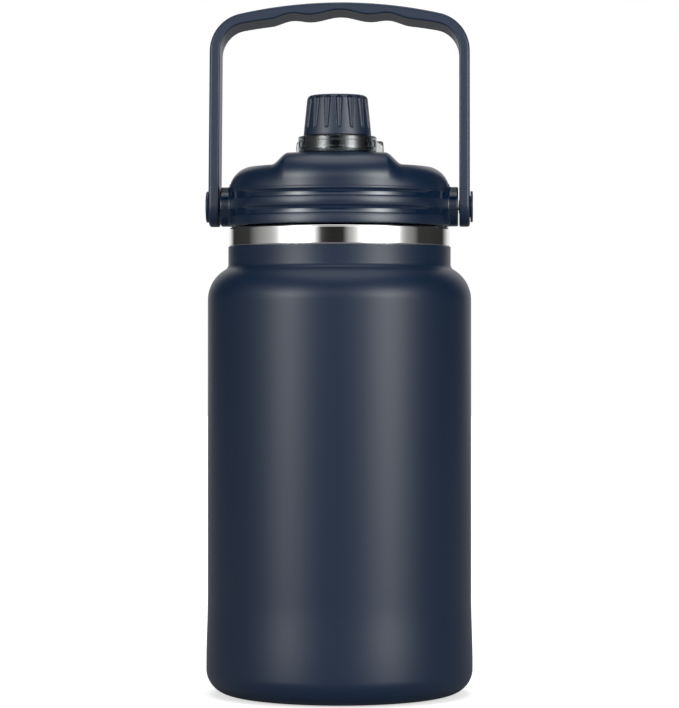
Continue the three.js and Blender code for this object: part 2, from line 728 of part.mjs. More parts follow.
function carrierArm() {
  const bottomZ = PLATEAU_Z + GAP;
  const plateTopZ = bottomZ + 2.4;
  const flangeTopZ = HINGE_Z + 1.4;
  const flange = 1.8;
  const clearance = 0.4;
  const about = (shape) => shape.translate([0, SPOUT_Y, 0]);
  const plate = prism(armOutline(0), bottomZ, plateTopZ);
  const walls = prism(armOutline(0), bottomZ, flangeTopZ)
    .subtract(prism(armOutline(flange), bottomZ - 1, flangeTopZ + 1));
  const hoop = about(ring(0, RING_R, bottomZ, RING_TOP_Z, SEGMENTS));
  const bore = about(ring(0, COLLAR_R + clearance, bottomZ - 1, RING_TOP_Z + 1, SMALL_SEGMENTS));
  const counterbore = about(ring(0, SNAP_R + clearance, bottomZ - 1, SNAP_TOP_Z + GAP, SMALL_SEGMENTS));
  const knuckles = crossRod(BARREL_R, -KNUCKLE_END_X, KNUCKLE_END_X, HINGE_Y, HINGE_Z);
  const window = block(-BARREL_HALF - GAP, BARREL_HALF + GAP,
    HINGE_Y - BARREL_R - 1, HINGE_Y + BARREL_R + 1, bottomZ - 1, HINGE_Z + BARREL_R + 1);
  const pinHole = crossRod(PIN_R + GAP, -KNUCKLE_END_X - 1, KNUCKLE_END_X + 1, HINGE_Y, HINGE_Z, 16);
  return plate.add(walls).add(hoop).add(knuckles)
    .subtract(bore).subtract(counterbore).subtract(window).subtract(pinHole);
}

// ---------------------------------------------------------------- handle, drawn about its pivot axis
const TOP_ARC_R = 262;
const BEND_R = 22.3;
const CREST_X = [16.4, 40];    // where the finger grooves meet
const GROOVE_DEPTHS = [2.3, 1.8];
// Height of the grip's upper surface above the pivot.
const gripTop = (x) => HANDLE_REACH - TOP_ARC_R + Math.sqrt(TOP_ARC_R ** 2 - x ** 2);

// Thickness of the grip: three finger grooves between the crests.
function gripThickness(x) {
  const [inner, outer] = CREST_X;
  const reach = Math.abs(x);
  if (reach > outer) {
    return GRIP_THICKNESS;
  }
  const [middle, width, depth] = reach < inner
    ? [0, 2 * inner, GROOVE_DEPTHS[0]]
    : [(inner + outer) / 2, outer - inner, GROOVE_DEPTHS[1]];
  return GRIP_THICKNESS - depth * Math.cos(Math.PI * (reach - middle) / width) ** 2;
}

// Half of the handle's outline on the +X side, from the middle of the grip down to the leg's end.
function handleOutline() {
  const bendX = LEG_OUTER_X - BEND_R;
  const tilt = Math.asin(bendX / (TOP_ARC_R - BEND_R));
  const bendZ = HANDLE_REACH - TOP_ARC_R + (TOP_ARC_R - BEND_R) * Math.cos(tilt);
  const startAngle = 90 - degrees(tilt);
  const legEnd = -STRAP_WIDTH / 2;
  const outerStep = 8;
  const innerStep = CREST_X[0] / 5;
  const outer = [];
  for (let x = 0; x < TOP_ARC_R * Math.sin(tilt); x += outerStep) {
    outer.push(new THREE.Vector2(x, gripTop(x)));
  }
  outer.push(...arc(bendX, bendZ, BEND_R, startAngle, 0, 7));
  outer.push(new THREE.Vector2(LEG_OUTER_X, legEnd));
  const inner = [];
  for (let x = 0; x <= CREST_X[1] + 0.1; x += innerStep) {
    inner.push(new THREE.Vector2(x, gripTop(x) - gripThickness(x)));
  }
  inner.push(...arc(bendX, bendZ, LEG_INNER_X - bendX, startAngle - 4, 0, 6));
  inner.push(new THREE.Vector2(LEG_INNER_X, legEnd));
  return { outer, inner };
}

function handleBail() {
  const { outer, inner } = handleOutline();
  const mirror = (points) => points.slice(1).map((p) => new THREE.Vector2(-p.x, p.y));
  const outline = [
    ...mirror(outer).reverse(), ...outer, ...inner.slice().reverse(), ...mirror(inner),
  ];
  const bevel = 0.8;
  const geometry = new THREE.ExtrudeGeometry(new THREE.Shape(outline), {
    depth: STRAP_WIDTH - 2 * bevel, bevelEnabled: true, bevelThickness: bevel,
    bevelSize: bevel, bevelOffset: -bevel, bevelSegments: 1,
  });
  geometry.rotateX(Math.PI / 2);
  geometry.translate(0, STRAP_WIDTH / 2 - bevel, 0);
  const half = STRAP_WIDTH / 2;
  const reach = LEG_OUTER_X + 5;
  const roundEnd = crossRod(half, -reach, reach, 0, 0, 40)
    .add(block(-reach, reach, -half - 1, half + 1, 0, HANDLE_REACH + 5));
  let bail = solid(geometry).intersect(roundEnd);
  for (const side of [1, -1]) {
    const through = [LEG_INNER_X - 1, LEG_OUTER_X + 1].map((x) => side * x);
    const pocket = [LEG_WEB_X, LEG_OUTER_X + 1].map((x) => side * x);
    bail = bail
      .subtract(crossRod(LEG_BUSH_R, Math.min(...through), Math.max(...through), 0, 0))
      .subtract(crossRod(COUNTERBORE_R, Math.min(...pocket), Math.max(...pocket), 0, 0));
  }
  return bail;
}

// Round cover over the screw, with a chamfered edge and a short plug.
function pivotCover(side) {
  const seatX = LEG_OUTER_X + GAP;
  const chamfer = 0.7;
  const cover = revolve([
    point(0, seatX - COVER_PLUG),
    point(COUNTERBORE_R - GAP, seatX - COVER_PLUG),
    point(COUNTERBORE_R - GAP, seatX),
    point(COVER_R, seatX),
    point(COVER_R, COVER_FACE_X - chamfer),
    point(COVER_R - chamfer, COVER_FACE_X),
    point(0, COVER_FACE_X),
  ], SMALL_SEGMENTS);
  return cover.rotate([0, side * 90, 0]);
}

// Shoulder screw that holds one leg to its boss; it lies along X and stays with the lid.
function pivotScrew(side) {
  const headX = LEG_WEB_X + 0.55;
  const screw = revolve([
    point(0, SCREW_TIP_X),
    point(SCREW_R, SCREW_TIP_X),
    point(SCREW_R, headX),
    point(SCREW_HEAD_R, headX),
    point(SCREW_HEAD_R, headX + SCREW_HEAD),
    point(0, headX + SCREW_HEAD),
  ], 20);
  return screw.rotate([0, side * 90, 0]);
}

function pivotBush(side) {
  const bush = ring(SCREW_R + GAP, LEG_BUSH_R - GAP, BOSS_FACE_X + GAP, LEG_WEB_X + 0.25, 20);
  return bush.rotate([0, side * 90, 0]);
}

// ---------------------------------------------------------------- assembly
const group = new THREE.Group();

add(group, 'outer_shell', outerShell(), navyCoat());
add(group, 'base_plate', basePlate(), navyCoat());
add(group, 'base_cover_disc', baseCoverDisc(), navyCoat());
add(group, 'base_grip_ring', baseGripRing(), greySilicone());
add(group, 'vacuum_port_seal', vacuumPortSeal(), brushedSteel());
add(group, 'getter_capsule', getterCapsule().translate([GETTER_X, 0, 0]), brushedSteel());
add(group, 'neck_collar', neckCollar(), polishedSteel());
add(group, 'inner_liner', innerLiner(), brushedSteel());

add(group, 'lid_gasket', lidGasket(), clearSilicone());
add(group, 'lid_shell', lidShell(), navyPlastic());
add(group, 'lid_thread_liner', lidThreadLiner(), navyPlastic());
add(group, 'lid_foam_core', lidFoam(), foam());
add(group, 'hinge_pin', hingePin(), polishedSteel());

const spoutAxis = new THREE.Group();
spoutAxis.position.y = SPOUT_Y;
group.add(spoutAxis);
add(spoutAxis, 'spout', spout(), navyPlastic());
add(spoutAxis, 'spout_seal', spoutSeal(), clearSilicone());
add(spoutAxis, 'straw_holder', strawHolder(), navyPlastic());
add(spoutAxis, 'straw_mouthpiece', strawMouthpiece(), whitePlastic());
add(spoutAxis, 'straw_tube', strawTube(), whitePlastic());
add(spoutAxis, 'cap_shell', capShell(), navyPlastic());
add(spoutAxis, 'cap_top_disc', capTopDisc(), navyPlastic());
add(spoutAxis, 'cap_gasket', capGasket(), clearSilicone());
add(spoutAxis, 'cap_snap_ring', capSnapRing(), navyPlastic());

add(group, 'cap_carrier', carrierArm(), smokyPlastic());

const pivotAxis = new THREE.Group();
pivotAxis.position.z = PIVOT_Z;
group.add(pivotAxis);
const handle = new THREE.Group();
handle.rotation.x = -radians(HANDLE_LEAN);
pivotAxis.add(handle);
add(handle, 'handle_bail', handleBail(), navyPlastic());
for (const [word, side] of [['left', -1], ['right', 1]]) {
  add(handle, `pivot_cover_${word}`, pivotCover(side), navyPlastic());
  add(pivotAxis, `pivot_screw_${word}`, pivotScrew(side), polishedSteel());
  add(pivotAxis, `pivot_bush_${word}`, pivotBush(side), brushedSteel());
}

export default group;
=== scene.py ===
import math

import bpy
import numpy as np
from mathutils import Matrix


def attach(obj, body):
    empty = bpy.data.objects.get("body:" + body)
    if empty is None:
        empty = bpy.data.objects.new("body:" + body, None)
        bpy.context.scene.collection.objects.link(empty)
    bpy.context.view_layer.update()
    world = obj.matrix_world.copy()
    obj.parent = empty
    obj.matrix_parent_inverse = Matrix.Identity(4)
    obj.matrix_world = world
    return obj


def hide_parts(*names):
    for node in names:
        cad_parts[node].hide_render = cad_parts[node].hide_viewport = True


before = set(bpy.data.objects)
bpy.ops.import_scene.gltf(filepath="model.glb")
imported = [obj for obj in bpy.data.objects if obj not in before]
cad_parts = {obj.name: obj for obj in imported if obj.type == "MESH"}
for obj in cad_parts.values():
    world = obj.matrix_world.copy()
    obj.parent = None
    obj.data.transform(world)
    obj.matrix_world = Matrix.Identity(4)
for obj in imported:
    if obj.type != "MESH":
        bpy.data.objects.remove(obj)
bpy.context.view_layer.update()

# ---------------- driving dimensions, in millimetres
MM = 0.001
GAP = 0.3
STEEL = 0.7
SIDES = (("left", -1), ("right", 1))
SHARP_ANGLE = math.radians(38)
# Screw threads: how fast a thread runs out at its ends, and how flat its crest is
RUN_OUT = 7.0
CREST_FLAT = 1.7
# Body
BODY_R = 75.3
FOOT_R = 76.15
FOOT_BAND_Z = 18.0
FLARE_Z = 57.0
FOOT_CORNER = 14.0
BASE_Z = 0.5
BASE_OPENING_R = 56.3
BASE_LIP = 3.5
FLARE_STEPS = 16
SHOULDER_Z = 225.0
SHOULDER_R = 19.9
NECK_R = 63.6
NECK_FILLET = 3.5
COAT_Z = 255.3
COAT_ROUND = 0.25
WALL_HOLDS_Z = (120.0, SHOULDER_Z - 3.0)
# Neck collar and mouth
BAND_R = 63.1
BAND_TOP_Z = 266.2
THREAD_ROOT_R = 57.6
THREAD_HEIGHT = 1.1
THREAD_PITCH = 5.6
THREAD_TURNS = 2.6
COLLAR_SLEEVE = 7.5
BEAD = 0.9
BEAD_TOP_Z = BAND_TOP_Z + 2.7
THREAD_FOOT_Z = BAND_TOP_Z + 3.0
RIM_Z = 289.0
RIM_SEAT = 0.25
# Inner liner
LINER_R = 71.0
MOUTH_R = 55.8
LINER_FLOOR_Z = 8.0
LINER_SHOULDER_Z = 224.0
LINER_NECK_FILLET = 6.0
LINER_CORNER = 14.0
LINER_RINGS_Z = (257.0, 272.0)
LINER_RING_HEIGHT = 0.7
LINER_RING_HALF = 1.6
# Lid
LID_R = 63.0
LID_BOTTOM_Z = 267.0
LID_WALL = 1.5
CROWN_WALL = 2.2
LID_EDGE = 11.5
CROWN_SLOPE = 0.158
CROWN_FLAT_R = 30.0
CROWN_EDGE_R = 53.3
CROWN_EDGE_Z = 300.56
PLATEAU_Z = 307.0
LID_CEILING_Z = 293.3
LID_PLATE_Z = 291.5
FOAM_R = 53.8
FOAM_LAP = 1.0
BORE_CORNER = 4.0
LID_TOP_Z = 317.0
RIDGE_WAIST = 24.5
RIDGE_WAIST_Y = 16.0
RIDGE_FLARE_BACK = 0.0072
RIDGE_FLARE_FRONT = 0.0008
RIDGE_FLANK = 9.8
RIDGE_ROUND = 15.0
SEAM_Z = 286.0
SEAM_LAP = 1.5
SEAM_TUCK = 0.25
SEAM_TUCK_RISE = 0.7
SCOOP_R = 52.0
SCOOP_DEPTH = 1.8
SCOOP_INSET = 6.5
SCOOP_LOW_Z = 296.0
SCOOP_ROUND = 1.6
DISH_Y = 61.0
DISH_R = 31.0
DISH_Z = 295.6
BANDS = ((272.4, 276.7), (282.0, 285.9))
BAND_DEPTH = 0.8
BAND_HALF_SPAN = 54.0
BAND_EDGE = 0.6
BAND_FADE = 6.0
BAND_POLISH = 0.26
# Handle and its pivots
PIVOT_Z = 278.3
BOSS_R = 11.3
BOSS_FACE_X = 67.9
BOSS_ROOT_X = 61.6
BOSS_FOOT = 1.7
SCREW_R = 2.0
LEG_INNER_X = 68.5
LEG_OUTER_X = 74.6
STRAP_WIDTH = 23.0
HANDLE_REACH = 117.1
HANDLE_LEAN = math.radians(6.0)
TOP_ARC_R = 262.0
BEND_R = 22.3
GRIP_THICKNESS = 6.9
LEG_THICKNESS = LEG_OUTER_X - LEG_INNER_X
CRESTS_X = (16.4, 40.0)
GROOVE_DEPTHS = (2.3, 1.8)
STRAP_CROWN = 0.25
LEG_BORE_R = 4.0
COUNTERBORE_R = 6.5
COUNTERBORE_X = 71.5
LEG_ZONE_X = 60.0
COVER_FACE_X = 76.28
SCREW_TIP_X = 62.2
SCREW_HEAD_X = 72.05
# Spout, cap and their hinge
SPOUT_Y = -30.0
ON_SPOUT = (0.0, SPOUT_Y)
SPOUT_BORE_R = 11.0
SPOUT_ROOT_R = 12.8
SPOUT_BASE_Z = PLATEAU_Z + GAP
SPOUT_RIM_Z = 321.5
SPIGOT_R = 12.6
SPIGOT_BOTTOM_Z = 287.5
QUICK_PITCH = 3.6
QUICK_HALF = 1.3
HINGE_Y = 9.0
HINGE_Z = 312.3
BARREL_R = 4.2
BARREL_HALF = 17.0
BARREL_WEB_HALF = 3.0
KNUCKLE_END_X = 25.0
PIN_R = 1.5
RING_R = 22.1
RING_TOP_Z = 316.3
CAP_BOTTOM_R = 19.1
CAP_TOP_R = 17.1
CAP_TOP_Z = 339.5
CAP_EDGE = 2.5
CAP_SKIRT_Z = RING_TOP_Z + GAP
CAP_FOOT_Z = PLATEAU_Z + 0.9
CAP_SEAT_Z = SPOUT_RIM_Z + 2.6
CAP_WELL_R = 10.6
CAP_DISC_R = 10.3
CAP_DISC_DEPTH = 0.9
COLLAR_R = 17.6
COLLAR_BORE_R = 15.6
SNAP_R = 19.4
FLUTES = 16
FLUTE_R = (1.1, 2.0)
FLUTE_PHASE = 0.10
SNAP_HEIGHT = 2.2
CARRIER_PLATE = 2.4
CARRIER_RAIL = 1.8
RAIL_RISE = 1.4
RING_PLAY = 0.4
PAD_X = 13.0
PAD_Y = -4.0
PAD_R = 2.2
PAD_DEPTH = 0.5
STRAW_R = 5.8
STRAW_TOP_Z = 336.5
STRAW_LOW_Z = 14.0


# ---------------- materials
NAVY = (0.0025, 0.0115, 0.0315)
NOISE_SWING = 0.2
GRAIN_DEPTH = 0.00005


def fill(node, **values):
    """Sets a node's inputs; an underscore stands for a space in an input's name."""
    for key, value in values.items():
        node.inputs[key.replace("_", " ")].default_value = value
    return node


class Nodes:
    """A short way to write a node tree."""

    def __init__(self, tree):
        self.tree = tree
        self.tree.nodes.clear()

    def add(self, kind, **settings):
        node = self.tree.nodes.new(kind)
        for key, value in settings.items():
            setattr(node, key, value)
        return node

    def link(self, source, target):
        self.tree.links.new(source, target)

    def math(self, operation, first, second=None, clamp=False):
        node = self.add("ShaderNodeMath", operation=operation, use_clamp=clamp)
        for socket, value in zip(node.inputs, (first, second)):
            if value is None:
                continue
            if isinstance(value, (int, float)):
                socket.default_value = value
            else:
                self.link(value, socket)
        return node.outputs[0]

    def place(self):
        """Coordinates fixed to the piece."""
        return self.add("ShaderNodeTexCoord").outputs["Object"]

    def axes(self, vector):
        node = self.add("ShaderNodeSeparateXYZ")
        self.link(vector, node.inputs["Vector"])
        return node.outputs

    def noise(self, vector, scale, detail=3.0):
        node = fill(self.add("ShaderNodeTexNoise"), Scale=scale, Detail=detail)
        self.link(vector, node.inputs["Vector"])
        return node.outputs["Fac"]

    def spread(self, value, low, high):
        """Maps a noise value about 0.5 on to a range."""
        node = fill(self.add("ShaderNodeMapRange"), From_Min=0.5 - NOISE_SWING, From_Max=0.5 + NOISE_SWING)
        fill(node, To_Min=low, To_Max=high)
        self.link(value, node.inputs["Value"])
        return node.outputs["Result"]

    def blend(self, factor, first, second):
        node = fill(self.add("ShaderNodeMix", data_type="RGBA"), A=(*first, 1.0), B=(*second, 1.0))
        self.link(factor, node.inputs["Factor"])
        return node.outputs["Result"]

    def bump(self, height, strength, distance):
        node = fill(self.add("ShaderNodeBump"), Strength=strength, Distance=distance)
        self.link(height, node.inputs["Height"])
        return node.outputs["Normal"]


def surface(name, **constants):
    """A new material with one Principled shader; constants go on the shader's own sockets."""
    made = bpy.data.materials.new(name)
    made.use_nodes = True
    nodes = Nodes(made.node_tree)
    shader = fill(nodes.add("ShaderNodeBsdfPrincipled"), **constants)
    output = nodes.add("ShaderNodeOutputMaterial")
    nodes.link(shader.outputs["BSDF"], output.inputs["Surface"])
    return made, nodes, shader


def darker(colour, share):
    return tuple(channel * share for channel in colour)


def tone(nodes, shader, place, scale, first, second):
    """A base colour that drifts between two tones; gives back the noise behind it."""
    cloud = nodes.noise(place, scale)
    nodes.link(nodes.blend(cloud, first, second), shader.inputs["Base Color"])
    return cloud


def grained(nodes, shader, grain, roughness, strength, depth=GRAIN_DEPTH):
    """Roughness between two values and a bump, both after one noise."""
    nodes.link(nodes.spread(grain, *roughness), shader.inputs["Roughness"])
    nodes.link(nodes.bump(grain, strength, depth), shader.inputs["Normal"])


def navy_coat():
    """Matt powder coat: a fine orange peel over navy."""
    made, nodes, shader = surface("navy_powder_coat", IOR=1.5, Specular_IOR_Level=0.38)
    place = nodes.place()
    tone(nodes, shader, place, 9.0, darker(NAVY, 0.94), darker(NAVY, 1.06))
    grained(nodes, shader, nodes.noise(place, 2600.0, 2.0), (0.35, 0.42), 0.10, 0.00004)
    return made


def navy_plastic(name, roughness, grain_strength, tint=1.0):
    """Moulded navy plastic with a fine spark-eroded grain."""
    made, nodes, shader = surface(name, IOR=1.5)
    place = nodes.place()
    tone(nodes, shader, place, 14.0, darker(NAVY, 0.94 * tint), darker(NAVY, 1.08 * tint))
    grain = nodes.noise(place, 2200.0, 2.0)
    grained(nodes, shader, grain, (roughness * 0.9, roughness * 1.1), grain_strength)
    return made


def lid_plastic():
    """The lid's plastic: grained, with the grip bands polished."""
    made, nodes, shader = surface("navy_lid_plastic", IOR=1.5)
    place = nodes.place()
    tone(nodes, shader, place, 14.0, darker(NAVY, 0.94), darker(NAVY, 1.08))
    grain = nodes.noise(place, 2200.0, 2.0)
    height = nodes.axes(place)["Z"]
    bands = None
    for bottom, top in BANDS:
        above = nodes.math("GREATER_THAN", height, bottom * MM)
        below = nodes.math("LESS_THAN", height, top * MM)
        band = nodes.math("MULTIPLY", above, below)
        bands = band if bands is None else nodes.math("MAXIMUM", bands, band)
    polish = nodes.math("MULTIPLY", bands, BAND_POLISH)
    rough = nodes.math("SUBTRACT", nodes.spread(grain, 0.30, 0.36), polish)
    nodes.link(rough, shader.inputs["Roughness"])
    nodes.link(nodes.bump(grain, 0.12, GRAIN_DEPTH), shader.inputs["Normal"])
    return made


def polished_steel():
    made, nodes, shader = surface("steel_polished", Metallic=1.0)
    cloud = tone(nodes, shader, nodes.place(), 30.0, (0.74, 0.735, 0.72), (0.80, 0.795, 0.78))
    nodes.link(nodes.spread(cloud, 0.05, 0.09), shader.inputs["Roughness"])
    return made


def brushed_steel():
    """Steel brushed round the jug's axis: streaks follow the angle."""
    made, nodes, shader = surface("steel_brushed", Metallic=1.0)
    x, y, z = nodes.axes(nodes.place())
    squares = [nodes.math("POWER", axis, 2.0) for axis in (x, y)]
    radius = nodes.math("SQRT", nodes.math("ADD", *squares))
    wrapped = nodes.add("ShaderNodeCombineXYZ")
    stretched = ((nodes.math("ARCTAN2", y, x), 0.9), (radius, 900.0), (z, 900.0))
    for (value, scale), socket in zip(stretched, wrapped.inputs):
        nodes.link(nodes.math("MULTIPLY", value, scale), socket)
    place = wrapped.outputs["Vector"]
    streaks = tone(nodes, shader, place, 1.6, (0.46, 0.45, 0.43), (0.60, 0.59, 0.57))
    grained(nodes, shader, streaks, (0.26, 0.40), 0.12)
    return made


def soft_material(name, colour, roughness, grain_scale, **constants):
    """Silicone, foam and other plain soft finishes."""
    made, nodes, shader = surface(name, **constants)
    grain = tone(nodes, shader, nodes.place(), grain_scale, darker(colour, 0.93), darker(colour, 1.05))
    grained(nodes, shader, grain, (roughness * 0.93, roughness), 0.15)
    return made


def smoky_plastic():
    """Clear plastic with a dark grey tint."""
    made, nodes, shader = surface("smoky_clear_plastic", IOR=1.5, Transmission_Weight=1.0)
    cloud = tone(nodes, shader, nodes.place(), 25.0, (0.36, 0.40, 0.41), (0.42, 0.46, 0.47))
    nodes.link(nodes.spread(cloud, 0.03, 0.07), shader.inputs["Roughness"])
    return made


# A finish is a material and its colour slot.
COAT = (navy_coat(), "navy_coat")
LID_PLASTIC = (lid_plastic(), "navy_plastic")
CAP_PLASTIC = (navy_plastic("navy_cap_plastic", 0.42, 0.08), "navy_plastic")
GLOSSY_PLASTIC = (navy_plastic("navy_glossy_plastic", 0.16, 0.02), "navy_plastic")
HANDLE_PLASTIC = (navy_plastic("navy_handle_plastic", 0.40, 0.12, 1.1), "navy_plastic")
POLISHED = (polished_steel(), "polished_steel")
BRUSHED = (brushed_steel(), "brushed_steel")
SMOKY = (smoky_plastic(), "smoky_plastic")
GREY_SILICONE = (soft_material("silicone_grey", (0.275, 0.305, 0.315), 0.82, 1800.0), "grey_silicone")
CLEAR_SILICONE = (
    soft_material("silicone_clear", (0.72, 0.73, 0.74), 0.55, 900.0, Subsurface_Weight=0.2),
    "clear_silicone",
)
DARK_SILICONE = (GLOSSY_PLASTIC[0], "clear_silicone")
WHITE_PLASTIC = (
    soft_material("plastic_white", (0.87, 0.87, 0.84), 0.42, 1200.0, Subsurface_Weight=0.15),
    "white_plastic",
)
FOAM = soft_material("foam_cream", (0.80, 0.76, 0.66), 0.95, 2400.0)


# ---------------- mesh helpers
def publish(name, vertices, faces, finish, body, node, normals=None):
    """Makes the piece from millimetre vertices, gives it the finish's material, ties it to its body and
    hides its CAD node.
    """
    material, slot = finish
    mesh = bpy.data.meshes.new(name)
    mesh.from_pydata((np.asarray(vertices) * MM).tolist(), [], faces)
    mesh.update()
    mesh.materials.append(material)
    mesh.shade_smooth()
    if normals is None:
        mesh.set_sharp_from_angle(angle=SHARP_ANGLE)
    else:
        mesh.normals_split_custom_set_from_vertices(normals.tolist())
    piece = bpy.data.objects.new(name, mesh)
    bpy.context.scene.collection.objects.link(piece)
    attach(piece, body)
    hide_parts(node)
    return piece


def smooth(share):
    """Eases a share from 0 to 1."""
    return share * share * (3 - 2 * share)


def arc(centre_r, centre_z, radius, start, end, steps):
    """Points of a circular arc between two angles in degrees, both ends included."""
    angles = np.radians(np.linspace(start, end, steps + 1))
    return [(centre_r + radius * math.cos(a), centre_z + radius * math.sin(a)) for a in angles]


def rounded(corners, step=15.0, hold=0.35, hold_share=0.3):
    """A closed outline of (r, z) corners, where a third number rounds the corner with that radius.

    Past each end of a rounding comes a holding point, which keeps the flat beside it flat.
    """
    count = len(corners)
    outline = []
    for i, corner in enumerate(corners):
        here = np.array(corner[:2], float)
        fillet = corner[2] if len(corner) > 2 else 0.0
        if fillet <= 0:
            outline.append(tuple(here))
            continue
        before = np.array(corners[i - 1][:2], float) - here
        after = np.array(corners[(i + 1) % count][:2], float) - here
        length_before, length_after = np.linalg.norm(before), np.linalg.norm(after)
        before, after = before / length_before, after / length_after
        opening = math.acos(max(-1.0, min(1.0, float(before @ after))))
        reach = fillet / math.tan(opening / 2)
        middle = (before + after) / np.linalg.norm(before + after)
        centre = here + middle * fillet / math.sin(opening / 2)
        start, end = here + before * reach, here + after * reach
        outline.append(tuple(start + before * min(hold, (length_before - reach) * hold_share)))
        first = math.atan2(*(start - centre)[::-1])
        turn = math.atan2(*(end - centre)[::-1]) - first
        turn = (turn + math.pi) % (2 * math.pi) - math.pi
        steps = max(2, math.ceil(abs(math.degrees(turn)) / step))
        for k in range(steps + 1):
            angle = first + turn * k / steps
            outline.append(tuple(centre + fillet * np.array([math.cos(angle), math.sin(angle)])))
        outline.append(tuple(end + after * min(hold, (length_after - reach) * hold_share)))
    return outline


def section(inner_r, outer_r, low, high, *fillets):
    """A rectangle's outline; fillets go inner low, outer low, outer high, inner high."""
    corners = ((inner_r, low), (outer_r, low), (outer_r, high), (inner_r, high))
    return rounded([(*corner, fillet) for corner, fillet in zip(corners, fillets)])


def divided(outline, low_z, high_z, step):
    """Splits the steep edges of an outline between two heights into short ones."""
    result = []
    for (r0, z0), (r1, z1) in zip(outline, outline[1:] + outline[:1]):
        result.append((r0, z0))
        inside = low_z <= min(z0, z1) and max(z0, z1) <= high_z
        pieces = math.ceil(abs(z1 - z0) / step) if inside else 1
        for k in range(1, pieces):
            result.append((r0 + (r1 - r0) * k / pieces, z0 + (z1 - z0) * k / pieces))
    return result


def lathe(outline, segments=128, shift=None, centre=(0.0, 0.0)):
    """Turns a closed (r, z) outline about a vertical axis. shift(r, z, angle) gives the new radius."""
    profile = np.array(outline, float)
    following = np.roll(profile, -1, axis=0)
    area = np.sum(profile[:, 0] * following[:, 1] - following[:, 0] * profile[:, 1])
    if area < 0:
        profile = profile[::-1]
    angles = 2 * math.pi * np.arange(segments) / segments
    vertices, rings = [], []
    for r, z in profile:
        if r < 1e-6:
            rings.append([len(vertices)] * segments)
            vertices.append((centre[0], centre[1], z))
            continue
        radii = np.full(segments, r) if shift is None else shift(r, z, angles)
        rings.append(list(range(len(vertices), len(vertices) + segments)))
        ring = np.stack([centre[0] + radii * np.cos(angles), centre[1] + radii * np.sin(angles)], axis=1)
        vertices.extend((x, y, z) for x, y in ring)
    faces = []
    for lower, upper in zip(rings, rings[1:] + rings[:1]):
        for i in range(segments):
            k = (i + 1) % segments
            corners = [lower[i], lower[k], upper[k], upper[i]]
            face = [c for n, c in enumerate(corners) if c != corners[n - 1]]
            if len(face) > 2:
                faces.append(face)
    return np.array(vertices), faces


def turned(name, outline, segments, finish, body, node, centre=(0.0, 0.0)):
    """A plain round piece in place of one CAD node."""
    publish(name, *lathe(outline, segments, centre=centre), finish, body, node)


def helix_bump(z, angle, start_z, pitch, turns, half_width):
    """Height from 0 to 1 of a rounded screw thread at a point of its cylinder."""
    share = (angle % (2 * math.pi)) / (2 * math.pi)
    bump = np.zeros_like(share)
    for turn in range(math.ceil(turns) + 1):
        travel = turn + share
        fade = np.clip(np.minimum(travel, turns - travel) * RUN_OUT, 0.0, 1.0)
        offset = np.abs(z - start_z - pitch * travel) / half_width
        crest = np.clip((1.0 - offset) * CREST_FLAT, 0.0, 1.0)
        bump = np.maximum(bump, fade * smooth(crest))
    return bump


# Distance fields: a value below zero is inside the piece.
def round_and(a, b, radius):
    """What two fields share, with the edge between them rounded."""
    corner = np.hypot(np.maximum(a + radius, 0.0), np.maximum(b + radius, 0.0))
    return np.minimum(np.maximum(a, b), -radius) + corner


def round_or(a, b, radius):
    """Two fields joined, with a fillet in the hollow between them."""
    return -round_and(-a, -b, radius)


def cut(a, b, radius):
    """The first field without the second, with the new edge rounded."""
    return round_and(a, -b, radius)


def rod(x, y, z, centre_y, centre_z, radius, low_x, high_x, edge=0.4):
    """A cylinder along X; low_x and high_x are distances from the middle, on both sides."""
    side = np.hypot(y - centre_y, z - centre_z) - radius
    return round_and(side, np.abs(np.abs(x) - (low_x + high_x) / 2) - (high_x - low_x) / 2, edge)


CORNERS = [(i, j, k) for i in (0, 1) for j in (0, 1) for k in (0, 1)]
EDGES = [
    (a, b)
    for a in range(8)
    for b in range(a + 1, 8)
    if sum(abs(p - q) for p, q in zip(CORNERS[a], CORNERS[b])) == 1
]


def gradient(field, points, reach=0.02):
    slopes = []
    for axis in range(3):
        ahead, behind = points.copy(), points.copy()
        ahead[:, axis] += reach
        behind[:, axis] -= reach
        slopes.append((field(*ahead.T) - field(*behind.T)) / (2 * reach))
    return np.stack(slopes, axis=1)


